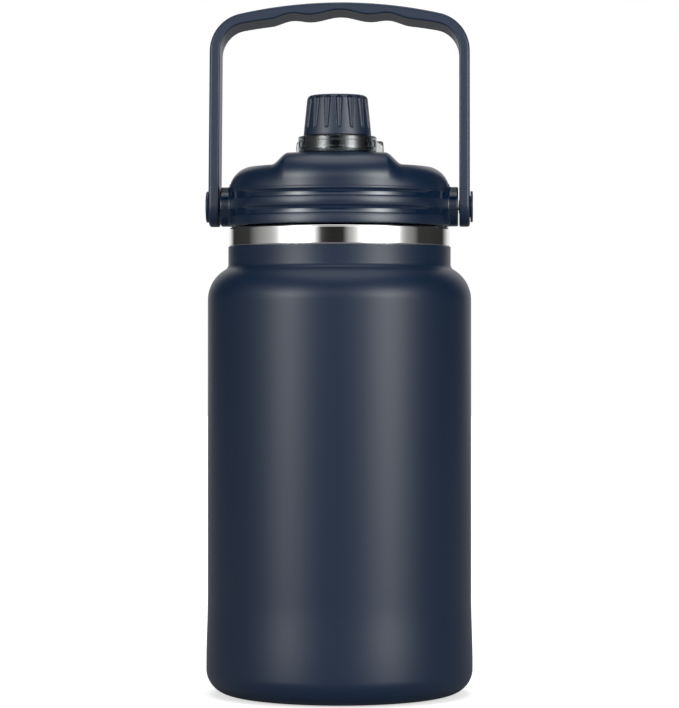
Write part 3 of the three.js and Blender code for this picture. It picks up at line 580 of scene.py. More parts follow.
def skin(field, low, high, step, rounds=4, least_slope=0.05, most_move=0.45):
    """The surface where a field is zero, as a quad mesh with its normals.

    Every cell of a grid that the surface crosses gets one vertex, which then steps on to the surface.
    """
    step = np.ones(3) * step
    axes = [np.arange(lo - s, hi + 2 * s, s) for lo, hi, s in zip(low, high, step)]
    values = field(*np.meshgrid(*axes, indexing="ij"))
    inside = values < 0
    cells = np.array(inside.shape) - 1
    corner_inside = [
        inside[i:i + cells[0], j:j + cells[1], k:k + cells[2]] for i, j, k in CORNERS
    ]
    count = np.sum(corner_inside, axis=0)
    crossed = (count > 0) & (count < 8)
    index = np.full(crossed.shape, -1)
    index[crossed] = np.arange(crossed.sum())
    where = np.argwhere(crossed)
    levels = np.stack([values[tuple((where + c).T)] for c in CORNERS], axis=1)
    total = np.zeros((len(where), 3))
    hits = np.zeros(len(where))
    for a, b in EDGES:
        change = (levels[:, a] < 0) != (levels[:, b] < 0)
        gap = np.where(change, levels[:, b] - levels[:, a], 1.0)
        share = np.where(change, -levels[:, a] / gap, 0.0)
        start, end = np.array(CORNERS[a], float), np.array(CORNERS[b], float)
        total += np.where(change[:, None], start + share[:, None] * (end - start), 0.0)
        hits += change
    origin = np.array([axis[0] for axis in axes])
    points = origin + (where + total / hits[:, None]) * step
    for _ in range(rounds):
        slope = gradient(field, points)
        length = np.maximum(np.sum(slope * slope, axis=1), least_slope)
        move = -(field(*points.T) / length)[:, None] * slope
        points += np.clip(move, -most_move * step, most_move * step)
    faces = []
    for axis in range(3):
        others = [n for n in range(3) if n != axis]
        near = [slice(1, cells[n]) for n in range(3)]
        far = list(near)
        near[axis], far[axis] = slice(0, cells[axis]), slice(1, cells[axis] + 1)
        first, second = inside[tuple(near)], inside[tuple(far)]
        edges = np.argwhere(first != second)
        offset = np.array([1 if n in others else 0 for n in range(3)])
        base = edges + offset
        quad = []
        for du, dv in ((0, 0), (1, 0), (1, 1), (0, 1)):
            cell = base.copy()
            cell[:, others[0]] -= du
            cell[:, others[1]] -= dv
            quad.append(index[tuple(cell.T)])
        quad = np.stack(quad, axis=1)
        leaves = first[tuple(edges.T)]
        flip = leaves if axis == 1 else ~leaves
        quad[flip] = quad[flip][:, ::-1]
        faces.append(quad)
    normals = gradient(field, points)
    normals /= np.maximum(np.linalg.norm(normals, axis=1), 1e-9)[:, None]
    return points, np.concatenate(faces).tolist(), normals


def grown(name, field, low, high, step, finish, body, node):
    """A piece whose surface follows a field, in place of one CAD node."""
    points, faces, normals = skin(field, low, high, step)
    publish(name, points, faces, finish, body, node, normals)


# ---------------- steel body
def shoulder_curve(centre_r, radius, z, neck_r, fillet, inset, steps):
    """A shoulder's arc about (centre_r, z) and the fillet that leads it up into the neck."""
    fillet_r = neck_r + fillet
    turn = math.degrees(math.acos((fillet_r - centre_r) / (radius + fillet)))
    fillet_z = z + (radius + fillet) * math.sin(math.radians(turn))
    return [
        *arc(centre_r, z, radius - inset, 0, turn, steps),
        *arc(fillet_r, fillet_z, fillet + inset, 180 + turn, 180, steps // 2)[1:],
    ]


def drawn_wall(inset, steps):
    """Side of the outer shell from the foot up to the coating's top edge."""
    flare = []
    for k in range(FLARE_STEPS + 1):
        share = k / FLARE_STEPS
        z = FOOT_BAND_Z + (FLARE_Z - FOOT_BAND_Z) * share
        flare.append((FOOT_R + (BODY_R - FOOT_R) * smooth(share) - inset, z))
    return [
        *arc(FOOT_R - FOOT_CORNER, BASE_Z + FOOT_CORNER, FOOT_CORNER - inset, -90, 0, steps),
        *flare,
        *[(BODY_R - inset, z) for z in WALL_HOLDS_Z],
        *shoulder_curve(BODY_R - SHOULDER_R, SHOULDER_R, SHOULDER_Z, NECK_R, NECK_FILLET, inset, steps),
    ]


def outer_shell():
    lip_z = BASE_Z + BASE_LIP
    lip_round = 0.5
    outline = [
        (BASE_OPENING_R, lip_z),
        *arc(BASE_OPENING_R + lip_round, BASE_Z + lip_round, lip_round, 180, 270, 4),
        *drawn_wall(0.0, 24),
        (NECK_R, COAT_Z - 0.6),
        *arc(NECK_R - COAT_ROUND, COAT_Z - COAT_ROUND, COAT_ROUND, 0, 90, 4),
        (NECK_R - STEEL, COAT_Z),
        *drawn_wall(STEEL, 10)[::-1],
        (BASE_OPENING_R + STEEL, BASE_Z + STEEL),
        (BASE_OPENING_R + STEEL, lip_z),
    ]
    turned("body_shell", outline, 256, COAT, "bottle", "outer_shell")


def base_parts():
    plate_z = 2.0
    rise = 2.2
    port_r = 8.0
    slope = 2.0
    inner_port_r = port_r + 0.4
    outer_r = BASE_OPENING_R - GAP
    flange_z = BASE_Z + BASE_LIP
    plate = rounded([
        (0.0, plate_z + rise), (port_r - slope, plate_z + rise, 0.5), (port_r, plate_z, 0.5),
        (outer_r, plate_z, 0.3), (outer_r, flange_z), (outer_r - STEEL, flange_z),
        (outer_r - STEEL, plate_z + STEEL), (inner_port_r, plate_z + STEEL),
        (inner_port_r - slope, plate_z + rise + STEEL), (0.0, plate_z + rise + STEEL),
    ])
    turned("base_pan", plate, 128, COAT, "bottle", "base_plate")
    top_z = plate_z - GAP
    inner_r, ring_r = 34.2, 55.9
    grip = section(inner_r, ring_r, 0.0, top_z, 0.6, 0.6, 0.1, 0.1)
    turned("base_grip", grip, 192, GREY_SILICONE, "bottle", "base_grip_ring")
    disc = section(0.0, inner_r - GAP, BASE_Z, top_z, 0.0, 0.3, 0.1, 0.0)
    turned("base_disc", disc, 128, COAT, "bottle", "base_cover_disc")
    plug = section(0.0, port_r - 3.0, plate_z + 0.6, plate_z + rise - GAP, 0.0, 0.4, 0.2, 0.0)
    turned("vacuum_plug", plug, 48, BRUSHED, "bottle", "vacuum_port_seal")
    getter_r, getter_x, getter_height = 6.0, 34.0, 1.9
    low = plate_z + STEEL + GAP
    getter = section(0.0, getter_r, low, low + getter_height, 0.0, 0.4, 0.6, 0.0)
    turned("getter", getter, 48, BRUSHED, "bottle", "getter_capsule", (getter_x, 0.0))


def neck_collar():
    """Polished sleeve: band, shelf, bead and the rolled thread."""
    sleeve_r = NECK_R - STEEL - GAP
    sleeve_z = COAT_Z - COLLAR_SLEEVE
    band_z = COAT_Z + GAP
    top_z = RIM_Z - 0.9
    bead_r = THREAD_ROOT_R + BEAD
    inner_r = THREAD_ROOT_R - STEEL
    shelf_z = BAND_TOP_Z - STEEL
    outline = rounded([
        (sleeve_r, sleeve_z), (sleeve_r, band_z, 0.1), (BAND_R, band_z, 0.2), (BAND_R, BAND_TOP_Z, 1.3),
        (bead_r, BAND_TOP_Z, 0.7), (bead_r, BEAD_TOP_Z, 0.6), (THREAD_ROOT_R, BEAD_TOP_Z + STEEL, 0.6),
        (THREAD_ROOT_R, top_z, 0.3), (inner_r, top_z, 0.1), (inner_r, shelf_z, 0.5),
        (BAND_R - STEEL, shelf_z, 0.6), (BAND_R - STEEL, band_z + STEEL),
        (sleeve_r - STEEL, band_z + STEEL), (sleeve_r - STEEL, sleeve_z),
    ])
    outline = divided(outline, THREAD_FOOT_Z, top_z, 0.35)

    def rolled(r, z, angles):
        if r < THREAD_ROOT_R - 0.01 or z < THREAD_FOOT_Z:
            return np.full(len(angles), r)
        start_z = THREAD_FOOT_Z + 3
        return r + THREAD_HEIGHT * helix_bump(
            z, angles, start_z, THREAD_PITCH, THREAD_TURNS, THREAD_PITCH * 0.36
        )

    vertices, faces = lathe(outline, 256, rolled)
    publish("mouth_collar", vertices, faces, POLISHED, "bottle", "neck_collar")


def liner_wall(outset, steps):
    """Side of the liner from its floor to above the two rolled rings in the neck."""
    centre = BODY_R - SHOULDER_R
    radius = LINER_R + STEEL - centre
    neck_r = MOUTH_R + STEEL
    fillet = LINER_NECK_FILLET
    hold = 2.0
    points = [
        *arc(LINER_R - LINER_CORNER, LINER_FLOOR_Z + LINER_CORNER, LINER_CORNER + outset, -90, 0, steps),
        (LINER_R + outset, LINER_FLOOR_Z + LINER_CORNER + hold),
        (LINER_R + outset, LINER_SHOULDER_Z - hold),
        *shoulder_curve(centre, radius, LINER_SHOULDER_Z, neck_r, fillet, STEEL - outset, steps),
    ]
    ring_steps = 12
    for ring_z in LINER_RINGS_Z:
        for k in range(ring_steps + 1):
            share = 2 * k / ring_steps - 1
            bulge = LINER_RING_HEIGHT * math.cos(share * math.pi / 2) ** 2
            points.append((MOUTH_R + outset - bulge, ring_z + LINER_RING_HALF * share))
    return points


def liner_floor(drop):
    """Pressed bottom from the axis outwards: dimple, disc, groove, ring and groove."""
    disc_z = LINER_FLOOR_Z + 0.6 - drop
    groove_z = LINER_FLOOR_Z - 0.8 - drop
    low_z = disc_z - 20
    dimple_r, dimple_depth, dimple_steps = 24.0, 2.5, 12
    groove_in_r, groove_out_r, groove_flank = 43.8, 46.2, 0.6
    rim_r = 57.0
    shares = [k / dimple_steps for k in range(dimple_steps + 1)]
    dimple = [(dimple_r * share, disc_z - dimple_depth * (1 - share ** 2)) for share in shares]
    steps = rounded([
        (0.0, low_z), (dimple_r, low_z), (dimple_r + 0.5, disc_z), (groove_in_r, disc_z, 0.5),
        (groove_in_r + groove_flank, groove_z, 0.4), (groove_out_r - groove_flank, groove_z, 0.4),
        (groove_out_r, disc_z, 0.5), (rim_r - 3, disc_z, 2.0), (rim_r, LINER_FLOOR_Z - drop),
        (rim_r, low_z),
    ])
    return dimple + [point for point in steps if dimple_r + 0.2 < point[0] < rim_r - 0.1]


def inner_liner():
    lip_z = RIM_Z - 0.6
    outline = [
        *liner_floor(STEEL),
        *liner_wall(STEEL, 10),
        (MOUTH_R + STEEL, lip_z),
        (THREAD_ROOT_R, lip_z),
        *arc(THREAD_ROOT_R - 0.25, RIM_Z - 0.25, 0.25, 0, 90, 4),
        *arc(MOUTH_R + 0.5, RIM_Z - 0.5, 0.5, 90, 180, 5),
        *liner_wall(0.0, 20)[::-1],
        *liner_floor(0.0)[::-1],
    ]
    turned("liner", outline, 192, BRUSHED, "bottle", "inner_liner")


# ---------------- lid
def ridge_half_width(y):
    """Half-width of the raised ridge that runs over the lid from front to back."""
    flare = np.where(y > RIDGE_WAIST_Y, RIDGE_FLARE_BACK, RIDGE_FLARE_FRONT)
    return RIDGE_WAIST + flare * (y - RIDGE_WAIST_Y) ** 2


def lid_crown(x, y, z):
    """Crown with its scoops, the ridge on it and the parking dish behind."""
    r = np.hypot(x, y)
    crown_z = CROWN_EDGE_Z + CROWN_SLOPE * (CROWN_EDGE_R - np.maximum(r, CROWN_FLAT_R))
    top = (z - crown_z) / math.hypot(1.0, CROWN_SLOPE)
    crown = round_and(top, r - LID_R, LID_EDGE)
    ridge = round_and(z - PLATEAU_Z, r - LID_R, RIDGE_ROUND)
    beside = np.abs(x) - ridge_half_width(y)
    share = smooth(np.clip(1.0 - beside / RIDGE_FLANK, 0.0, 1.0))
    scoop = round_and(SCOOP_INSET - beside, r - SCOOP_R, 2.0)
    scoop = round_and(scoop, (crown_z - SCOOP_DEPTH) - z, SCOOP_ROUND)
    scoop = np.maximum(scoop, SCOOP_LOW_Z - z)
    dish = round_and(np.hypot(x, y - DISH_Y) - DISH_R, DISH_Z - z, 1.2)
    crown = cut(crown, scoop, SCOOP_ROUND)
    return cut(crown + (ridge - crown) * share, dish, 1.0), r


def lid_field(x, y, z):
    """The lid's top, down to just under the upper edge of the skirt."""
    body, r = lid_crown(x, y, z)
    foam = np.maximum(np.maximum(body + CROWN_WALL, r - FOAM_R), LID_CEILING_Z - FOAM_LAP - z)
    barrel = rod(x, y, z, HINGE_Y, HINGE_Z, BARREL_R, -BARREL_HALF, BARREL_HALF, 0.5)
    web = np.maximum(np.abs(x) - BARREL_HALF, np.abs(y - HINGE_Y) - BARREL_WEB_HALF)
    web = np.maximum(np.maximum(web, z - HINGE_Z), PLATEAU_Z - 3 - z)
    body = round_or(body, np.minimum(barrel, web), 0.6)
    bore = round_and(r - (LID_R - LID_WALL), z - LID_CEILING_Z, BORE_CORNER)
    body = np.maximum(np.maximum(body, -bore), -foam)
    body = cut(body, rod(x, y, z, HINGE_Y, HINGE_Z, PIN_R + GAP, -40.0, 40.0), 0.2)
    body = cut(body, np.hypot(x, y - SPOUT_Y) - (SPIGOT_R + GAP), 0.4)
    tuck = SEAM_TUCK * np.clip((SEAM_Z + SEAM_LAP - z) / SEAM_TUCK_RISE, 0.0, 1.0)
    return np.maximum(np.maximum(body, r - LID_R + tuck), SEAM_Z - z)


def lid_skirt():
    """Skirt with its polished grip bands, which fade out towards the sides."""
    top_z = SEAM_Z + SEAM_LAP
    inner_r = LID_R - LID_WALL
    foot_round = 0.5
    edge_steps = 8
    outer = [
        (LID_R - foot_round, LID_BOTTOM_Z),
        *arc(LID_R - foot_round, LID_BOTTOM_Z + foot_round, foot_round, -75, 0, 5),
    ]
    for edge in [z for band in BANDS for z in band]:
        outer.extend((LID_R, edge + BAND_EDGE * (k / edge_steps - 0.5)) for k in range(edge_steps + 1))
    for inset, below in ((0.0, 0.6), (0.02, 0.4), (0.1, 0.1), (0.5, 0.0)):
        outer.append((LID_R - inset, top_z - below))

    def banded(r, z, angles):
        if r < LID_R - 0.01:
            return np.full(len(angles), r)
        fade = np.clip((BAND_HALF_SPAN - np.abs(r * np.cos(angles))) / BAND_FADE, 0.0, 1.0)
        sunk = 0.0
        for bottom, top in BANDS:
            share = 0.5 + ((top - bottom) / 2 - abs(z - (bottom + top) / 2)) / BAND_EDGE
            sunk += smooth(min(max(share, 0.0), 1.0))
        return r - BAND_DEPTH * sunk * smooth(fade)

    vertices, faces = lathe([*outer, (inner_r, top_z), (inner_r, LID_BOTTOM_Z)], 288, banded)
    publish("lid_skirt", vertices, faces, LID_PLASTIC, "lid", "lid_shell")


def boss_field(x, y, z):
    """A pivot boss with its fillet on a patch of the skirt's wall."""
    wall = np.hypot(x, y) - (LID_R - 0.04)
    body = round_or(wall, rod(x, y, z, 0.0, PIVOT_Z, BOSS_R, 56.0, BOSS_FACE_X, 0.9), 0.9)
    body = np.maximum(body, np.hypot(y, z - PIVOT_Z) - (BOSS_R + BOSS_FOOT))
    body = np.maximum(np.maximum(body, BOSS_ROOT_X - np.abs(x)), LID_BOTTOM_Z + 0.02 - z)
    return cut(body, rod(x, y, z, 0.0, PIVOT_Z, SCREW_R + GAP, 60.0, 80.0), 0.2)


def lid_shell():
    """The lid's top and the two pivot bosses."""
    low, high = (-LID_R, -LID_R, SEAM_Z), (LID_R, LID_R, LID_TOP_Z)
    grown("lid_top", lid_field, low, high, 0.75, LID_PLASTIC, "lid", "lid_shell")
    reach = BOSS_R + BOSS_FOOT + 0.1
    for word, side in SIDES:
        ends = sorted((BOSS_ROOT_X * side, BOSS_FACE_X * side))
        low, high = (ends[0], -reach, LID_BOTTOM_Z), (ends[1], reach, PIVOT_Z + reach)
        name = f"lid_boss_{word}"
        grown(name, boss_field, low, high, 0.5, LID_PLASTIC, "lid", "lid_shell")


def lid_inner_parts():
    """The moulding with the internal thread, and the seal that meets the rim."""
    root_r = THREAD_ROOT_R + 2.5
    cup_r = LID_R - LID_WALL - GAP
    low_z = LID_BOTTOM_Z + 0.4
    top_z = LID_CEILING_Z - GAP
    start_z = BAND_TOP_Z + 8.2
    turns = 2.2
    outline = rounded([
        (root_r, low_z, 0.3), (cup_r, low_z, 0.3), (cup_r, top_z, BORE_CORNER), (0.0, top_z),
        (0.0, LID_PLATE_Z), (root_r, LID_PLATE_Z, 2.4),
    ])
    outline = divided(outline, low_z, LID_PLATE_Z, 0.4)

    def ribbed(r, z, angles):
        if r > root_r + 0.01 or z > LID_PLATE_Z - 1:
            return np.full(len(angles), r)
        bump = helix_bump(z, angles, start_z, THREAD_PITCH, turns, THREAD_PITCH * 0.33)
        return r - (THREAD_HEIGHT - 0.1) * bump

    vertices, faces = lathe(outline, 192, ribbed)
    cup = publish("lid_thread_cup", vertices, faces, GLOSSY_PLASTIC, "lid", "lid_thread_liner")
    past = 5
    hole = section(0.0, SPIGOT_R + GAP, LID_PLATE_Z - past, top_z + past, 0.0, 0.0, 0.0, 0.0)
    pierce(cup, lathe(hole, 96, centre=ON_SPOUT))
    low = RIM_Z + RIM_SEAT
    gasket = section(54.2, 58.6, low, low + 2, 0.7, 0.7, 0.7, 0.7)
    turned("rim_gasket", gasket, 192, CLEAR_SILICONE, "lid_seal", "lid_gasket")


def pierce(piece, hole):
    """Cuts a closed mesh, in millimetres, out of a piece for good."""
    mesh = bpy.data.meshes.new("hole")
    mesh.from_pydata((np.asarray(hole[0]) * MM).tolist(), [], hole[1])
    tool = bpy.data.objects.new("hole", mesh)
    bpy.context.scene.collection.objects.link(tool)
    cutter = piece.modifiers.new("cut", "BOOLEAN")
    cutter.operation = "DIFFERENCE"
    cutter.solver = "EXACT"
    cutter.object = tool
    bpy.context.view_layer.update()
    evaluated = piece.evaluated_get(bpy.context.evaluated_depsgraph_get())
    result = bpy.data.meshes.new_from_object(evaluated)
    piece.modifiers.clear()
    piece.data = result
    result.set_sharp_from_angle(angle=SHARP_ANGLE)
    bpy.data.objects.remove(tool)


# ---------------- spout and straw
def spout():
    base = SPOUT_BASE_Z
    flange_r = 14.0
    foot_z, lip_z = base + 3, SPOUT_RIM_Z - 3.5
    lip_r = SPOUT_ROOT_R - 0.6
    start_angle, start_z, turns = 2.4, base + 4.6, 1.35
    outline = rounded([
        (SPOUT_BORE_R, SPIGOT_BOTTOM_Z, 0.3), (SPIGOT_R, SPIGOT_BOTTOM_Z, 0.4), (SPIGOT_R, base, 0.05),
        (flange_r, base, 0.2), (flange_r, base + 2, 0.6), (SPOUT_ROOT_R, foot_z, 0.6),
        (SPOUT_ROOT_R, lip_z - 0.5, 0.3), (lip_r, lip_z, 0.3), (lip_r, SPOUT_RIM_Z, 0.55),
        (SPOUT_BORE_R, SPOUT_RIM_Z, 0.5),
    ])
    outline = divided(outline, foot_z, lip_z, 0.25)

    def threaded(r, z, angles):
        if r < SPOUT_ROOT_R - 0.01 or z < foot_z:
            return np.full(len(angles), r)
        return r + helix_bump(z, angles + start_angle, start_z, QUICK_PITCH, turns, QUICK_HALF)

    vertices, faces = lathe(outline, 128, threaded, ON_SPOUT)
    publish("spout_tube", vertices, faces, GLOSSY_PLASTIC, "lid", "spout")
    low, high = SPIGOT_BOTTOM_Z + 2, LID_PLATE_Z - GAP
    seal = section(SPIGOT_R + GAP, SPIGOT_R + 3, low, high, 0.4, 0.6, 0.4, 0.2)
    turned("spout_washer", seal, 64, CLEAR_SILICONE, "lid", "spout_seal", ON_SPOUT)


def straw():
    """The holder in the spout, the mouthpiece on it and the tube below."""
    holder_z = SPIGOT_BOTTOM_Z + 1.5
    holder_height = 8
    holder_top = holder_z + holder_height
    seat_z = holder_z + 5
    tube_r = 4.6
    hub_r = 7.6

    def holder_field(x, y, z):
        y = y - SPOUT_Y
        r = np.hypot(x, y)
        ring = np.abs(r - (SPOUT_BORE_R - 0.95)) - 0.65
        shape = np.minimum(ring, r - hub_r)
        for turn in range(3):
            angle = 2 * math.pi * turn / 3
            along = x * math.cos(angle) + y * math.sin(angle)
            across = -x * math.sin(angle) + y * math.cos(angle)
            arm = np.maximum(np.abs(across) - 1.0, np.abs(along - (hub_r + 0.7)) - 2.0)
            shape = round_or(shape, arm, 0.4)
        body = round_and(shape, np.abs(z - (holder_z + holder_top) / 2) - holder_height / 2, 0.3)
        body = cut(body, np.maximum(r - (STRAW_R + GAP), seat_z - z), 0.2)
        return cut(body, r - (tube_r + GAP), 0.2)

    reach = SPOUT_BORE_R + 0.5
    low, high = (-reach, SPOUT_Y - reach, holder_z), (reach, SPOUT_Y + reach, holder_top)
    grown("straw_spider", holder_field, low, high, 0.3, GLOSSY_PLASTIC, "lid", "straw_holder")
    wall = 1.9
    outline = section(STRAW_R - wall, STRAW_R, seat_z + GAP, STRAW_TOP_Z, 0.1, 0.2, 1.35, 0.45)
    turned("mouthpiece", outline, 64, WHITE_PLASTIC, "lid", "straw_mouthpiece", ON_SPOUT)
    outline = section(tube_r - 1, tube_r, STRAW_LOW_Z, holder_z + 4.4, 0.3, 0.3, 0.2, 0.2)
    turned("straw", outline, 48, WHITE_PLASTIC, "lid", "straw_tube", ON_SPOUT)


# ---------------- cap
def cap_field(x, y, z):
    """The fluted cap: a leaning wall, a collar below it, and the threaded bore and well inside."""
    y = y - SPOUT_Y
    r = np.hypot(x, y)
    lean = (CAP_BOTTOM_R - CAP_TOP_R) / (CAP_TOP_Z - CAP_EDGE - CAP_SKIRT_Z)
    wall_r = CAP_BOTTOM_R - lean * (z - CAP_SKIRT_Z)
    head = round_and((r - wall_r) / math.hypot(1.0, lean), z - CAP_TOP_Z, CAP_EDGE)
    low_z, high_z = CAP_SKIRT_Z + 5.0, CAP_TOP_Z - 2.6
    pitch = 2 * math.pi / FLUTES
    angle = (np.arctan2(y, x) + math.pi / 2 + FLUTE_PHASE) % pitch - pitch / 2
    across = r * np.sin(angle)
    outward = r * np.cos(angle) - (wall_r + 0.1)
    beyond = z - np.clip(z, low_z, high_z)
    share = np.clip((z - low_z) / (high_z - low_z), 0.0, 1.0)
    flute_r = FLUTE_R[0] + (FLUTE_R[1] - FLUTE_R[0]) * share
    flute = np.sqrt(across ** 2 + outward ** 2 + beyond ** 2) - flute_r
    head = round_and(cut(head, flute, 0.3), CAP_SKIRT_Z - z, 0.5)
    collar = np.maximum(np.maximum(r - COLLAR_R, CAP_FOOT_Z - z), z - CAP_SKIRT_Z - 1)
    body = np.minimum(head, round_and(collar, CAP_FOOT_Z - z, 0.3))
    thread = helix_bump(z, np.arctan2(y, x), CAP_FOOT_Z + 4, QUICK_PITCH, 1.3, QUICK_HALF)
    body = cut(body, np.maximum(r - COLLAR_BORE_R + 0.9 * thread, z - CAP_SEAT_Z), 0.3)
    recess = CAP_TOP_Z - CAP_DISC_DEPTH
    body = cut(body, np.maximum(r - CAP_WELL_R, z - (recess - 1.2)), 0.3)
    return cut(body, np.maximum(r - CAP_DISC_R, recess - z), 0.25)


def cap():
    """The screw cap, its inlay, its washer and the ring that snaps on below."""
    reach = CAP_BOTTOM_R + 0.5
    low, high = (-reach, SPOUT_Y - reach, CAP_FOOT_Z), (reach, SPOUT_Y + reach, CAP_TOP_Z)
    grown("cap_body", cap_field, low, high, 0.36, CAP_PLASTIC, "cap", "cap_shell")
    disc_z = CAP_TOP_Z - CAP_DISC_DEPTH + GAP
    disc = section(0.0, CAP_DISC_R - GAP, disc_z, CAP_TOP_Z, 0.0, 0.1, 0.35, 0.0)
    turned("cap_inlay", disc, 96, CAP_PLASTIC, "cap", "cap_top_disc", ON_SPOUT)
    low_z, high_z = SPOUT_RIM_Z + GAP, CAP_SEAT_Z - GAP
    washer = section(CAP_WELL_R, COLLAR_BORE_R - GAP, low_z, high_z, 0.6, 0.6, 0.3, 0.3)
    turned("cap_washer", washer, 96, DARK_SILICONE, "cap", "cap_gasket", ON_SPOUT)
    snap_z = CAP_FOOT_Z + SNAP_HEIGHT
    snap = section(COLLAR_R + GAP, SNAP_R, CAP_FOOT_Z, snap_z, 0.3, 0.5, 0.2, 0.2)
    turned("cap_snap", snap, 96, GLOSSY_PLASTIC, "cap", "cap_snap_ring", ON_SPOUT)


# ---------------- cap carrier
def carrier_field(x, y, z):
    """Ring round the cap, two tangent arms to the hinge knuckles and a thin plate between them."""
    along, up = HINGE_Y - SPOUT_Y, SPOUT_BASE_Z
    reach = math.hypot(KNUCKLE_END_X, along)
    tangent = math.atan2(along, KNUCKLE_END_X) - math.acos(RING_R / reach)
    dx, dy = np.abs(x), y - SPOUT_Y
    r = np.hypot(dx, dy)
    side = dx * math.cos(tangent) + dy * math.sin(tangent) - RING_R
    outline = np.where(np.arctan2(dy, dx) > tangent, side, r - RING_R)
    arm = np.maximum(outline, y - HINGE_Y)
    half = CARRIER_PLATE / 2
    plate = round_and(arm, np.abs(z - up - half) - half, 0.4)
    rail_top = HINGE_Z + RAIL_RISE
    rail = np.maximum(np.abs(outline + CARRIER_RAIL / 2) - CARRIER_RAIL / 2, y - HINGE_Y)
    rail = round_and(rail, np.abs(z - (up + rail_top) / 2) - (rail_top - up) / 2, 0.5)
    hoop = round_and(round_and(r - RING_R, z - RING_TOP_Z, 0.7), up - z, 2.0)
    body = round_or(np.minimum(plate, rail), hoop, 0.5)
    knuckle = rod(x, y, z, HINGE_Y, HINGE_Z, BARREL_R, BARREL_HALF + GAP, KNUCKLE_END_X, 1.6)
    body = round_or(body, knuckle, 0.8)
    window = np.maximum(dx - (BARREL_HALF + GAP), np.abs(y - HINGE_Y) - (BARREL_R + 1))
    body = cut(body, window, 0.3)
    pads = np.hypot(dx - PAD_X, y - PAD_Y) - PAD_R
    body = cut(body, np.maximum(pads, z - up - PAD_DEPTH), 0.15)
    snap_top = CAP_FOOT_Z + SNAP_HEIGHT + GAP
    below = np.maximum(r - (SNAP_R + RING_PLAY), z - snap_top)
    bore = np.minimum(r - (COLLAR_R + RING_PLAY), below)
    body = cut(body, bore, 0.35)
    return cut(body, rod(x, y, z, HINGE_Y, HINGE_Z, PIN_R + GAP, 10.0, 40.0), 0.2)


def carrier():
    """The smoky carrier and the steel rod it turns on."""
    edge = 0.3
    low = (-KNUCKLE_END_X - edge, SPOUT_Y - RING_R - edge, SPOUT_BASE_Z)
    high = (KNUCKLE_END_X + edge, HINGE_Y + BARREL_R + edge, HINGE_Z + BARREL_R)
    grown("carrier_ring", carrier_field, low, high, 0.4, SMOKY, "carrier", "cap_carrier")
    half = KNUCKLE_END_X - GAP
    vertices, faces = lathe(section(0.0, PIN_R, -half, half, 0.0, 0.3, 0.3, 0.0), 48)
    vertices = np.stack([vertices[:, 2], vertices[:, 1] + HINGE_Y, HINGE_Z - vertices[:, 0]], axis=1)
    publish("hinge_rod", vertices, faces, POLISHED, "lid", "hinge_pin")


# ---------------- handle
def handle_field(x, y, z):
    """The bail upright about its pivot axis."""
    bend_x = LEG_OUTER_X - BEND_R
    tilt = math.asin(bend_x / (TOP_ARC_R - BEND_R))
    bend_z = HANDLE_REACH - TOP_ARC_R + (TOP_ARC_R - BEND_R) * math.cos(tilt)
    dx = np.abs(x)
    turned = np.arctan2(dx - bend_x, z - bend_z)
    top = np.hypot(dx, z - (HANDLE_REACH - TOP_ARC_R)) - TOP_ARC_R
    bend = np.hypot(dx - bend_x, z - bend_z) - BEND_R
    leg = dx - LEG_OUTER_X
    in_bend = (turned >= tilt) & (turned < math.pi / 2)
    in_leg = (turned >= math.pi / 2) | (z < bend_z - BEND_R)
    outer = np.where(in_leg & (dx > bend_x / 2), leg, np.where(in_bend, bend, top))
    inner_crest, outer_crest = CRESTS_X
    middle = GROOVE_DEPTHS[0] * np.cos(math.pi * dx / (2 * inner_crest)) ** 2
    span = outer_crest - inner_crest
    lateral = GROOVE_DEPTHS[1] * np.cos(math.pi * (dx - (inner_crest + outer_crest) / 2) / span) ** 2
    groove = np.where(dx < inner_crest, middle, np.where(dx < outer_crest, lateral, 0.0))
    taper_end = bend_x + 8
    ease = np.clip((dx - outer_crest) / (taper_end - outer_crest), 0.0, 1.0)
    thickness = GRIP_THICKNESS - groove - (GRIP_THICKNESS - LEG_THICKNESS) * ease
    inner = -(outer + thickness)
    half = STRAP_WIDTH / 2
    side = np.where(z < 0, np.hypot(y, z), np.abs(y)) - half
    crowned = outer + STRAP_CROWN * (y / half) ** 4
    body = np.maximum(round_and(crowned, side, 1.5), round_and(inner, side, 0.9))
    hole = np.hypot(y, z)
    only_legs = np.where(dx > LEG_ZONE_X, hole - LEG_BORE_R, STRAP_WIDTH)
    body = cut(body, only_legs, 0.2)
    return cut(body, np.maximum(hole - COUNTERBORE_R, COUNTERBORE_X - dx), 0.3)


def leaned(vertices):
    """Turns points from the handle's own upright place to where it rests."""
    c, s = math.cos(HANDLE_LEAN), math.sin(HANDLE_LEAN)
    x, y, z = np.asarray(vertices).T
    return np.stack([x, y * c + z * s, z * c - y * s], axis=1)


def along_x(vertices, side):
    """Turns a lathe piece drawn about Z so that its top points along X."""
    x, y, z = np.asarray(vertices).T
    return np.stack([side * z, side * y, -x], axis=1)


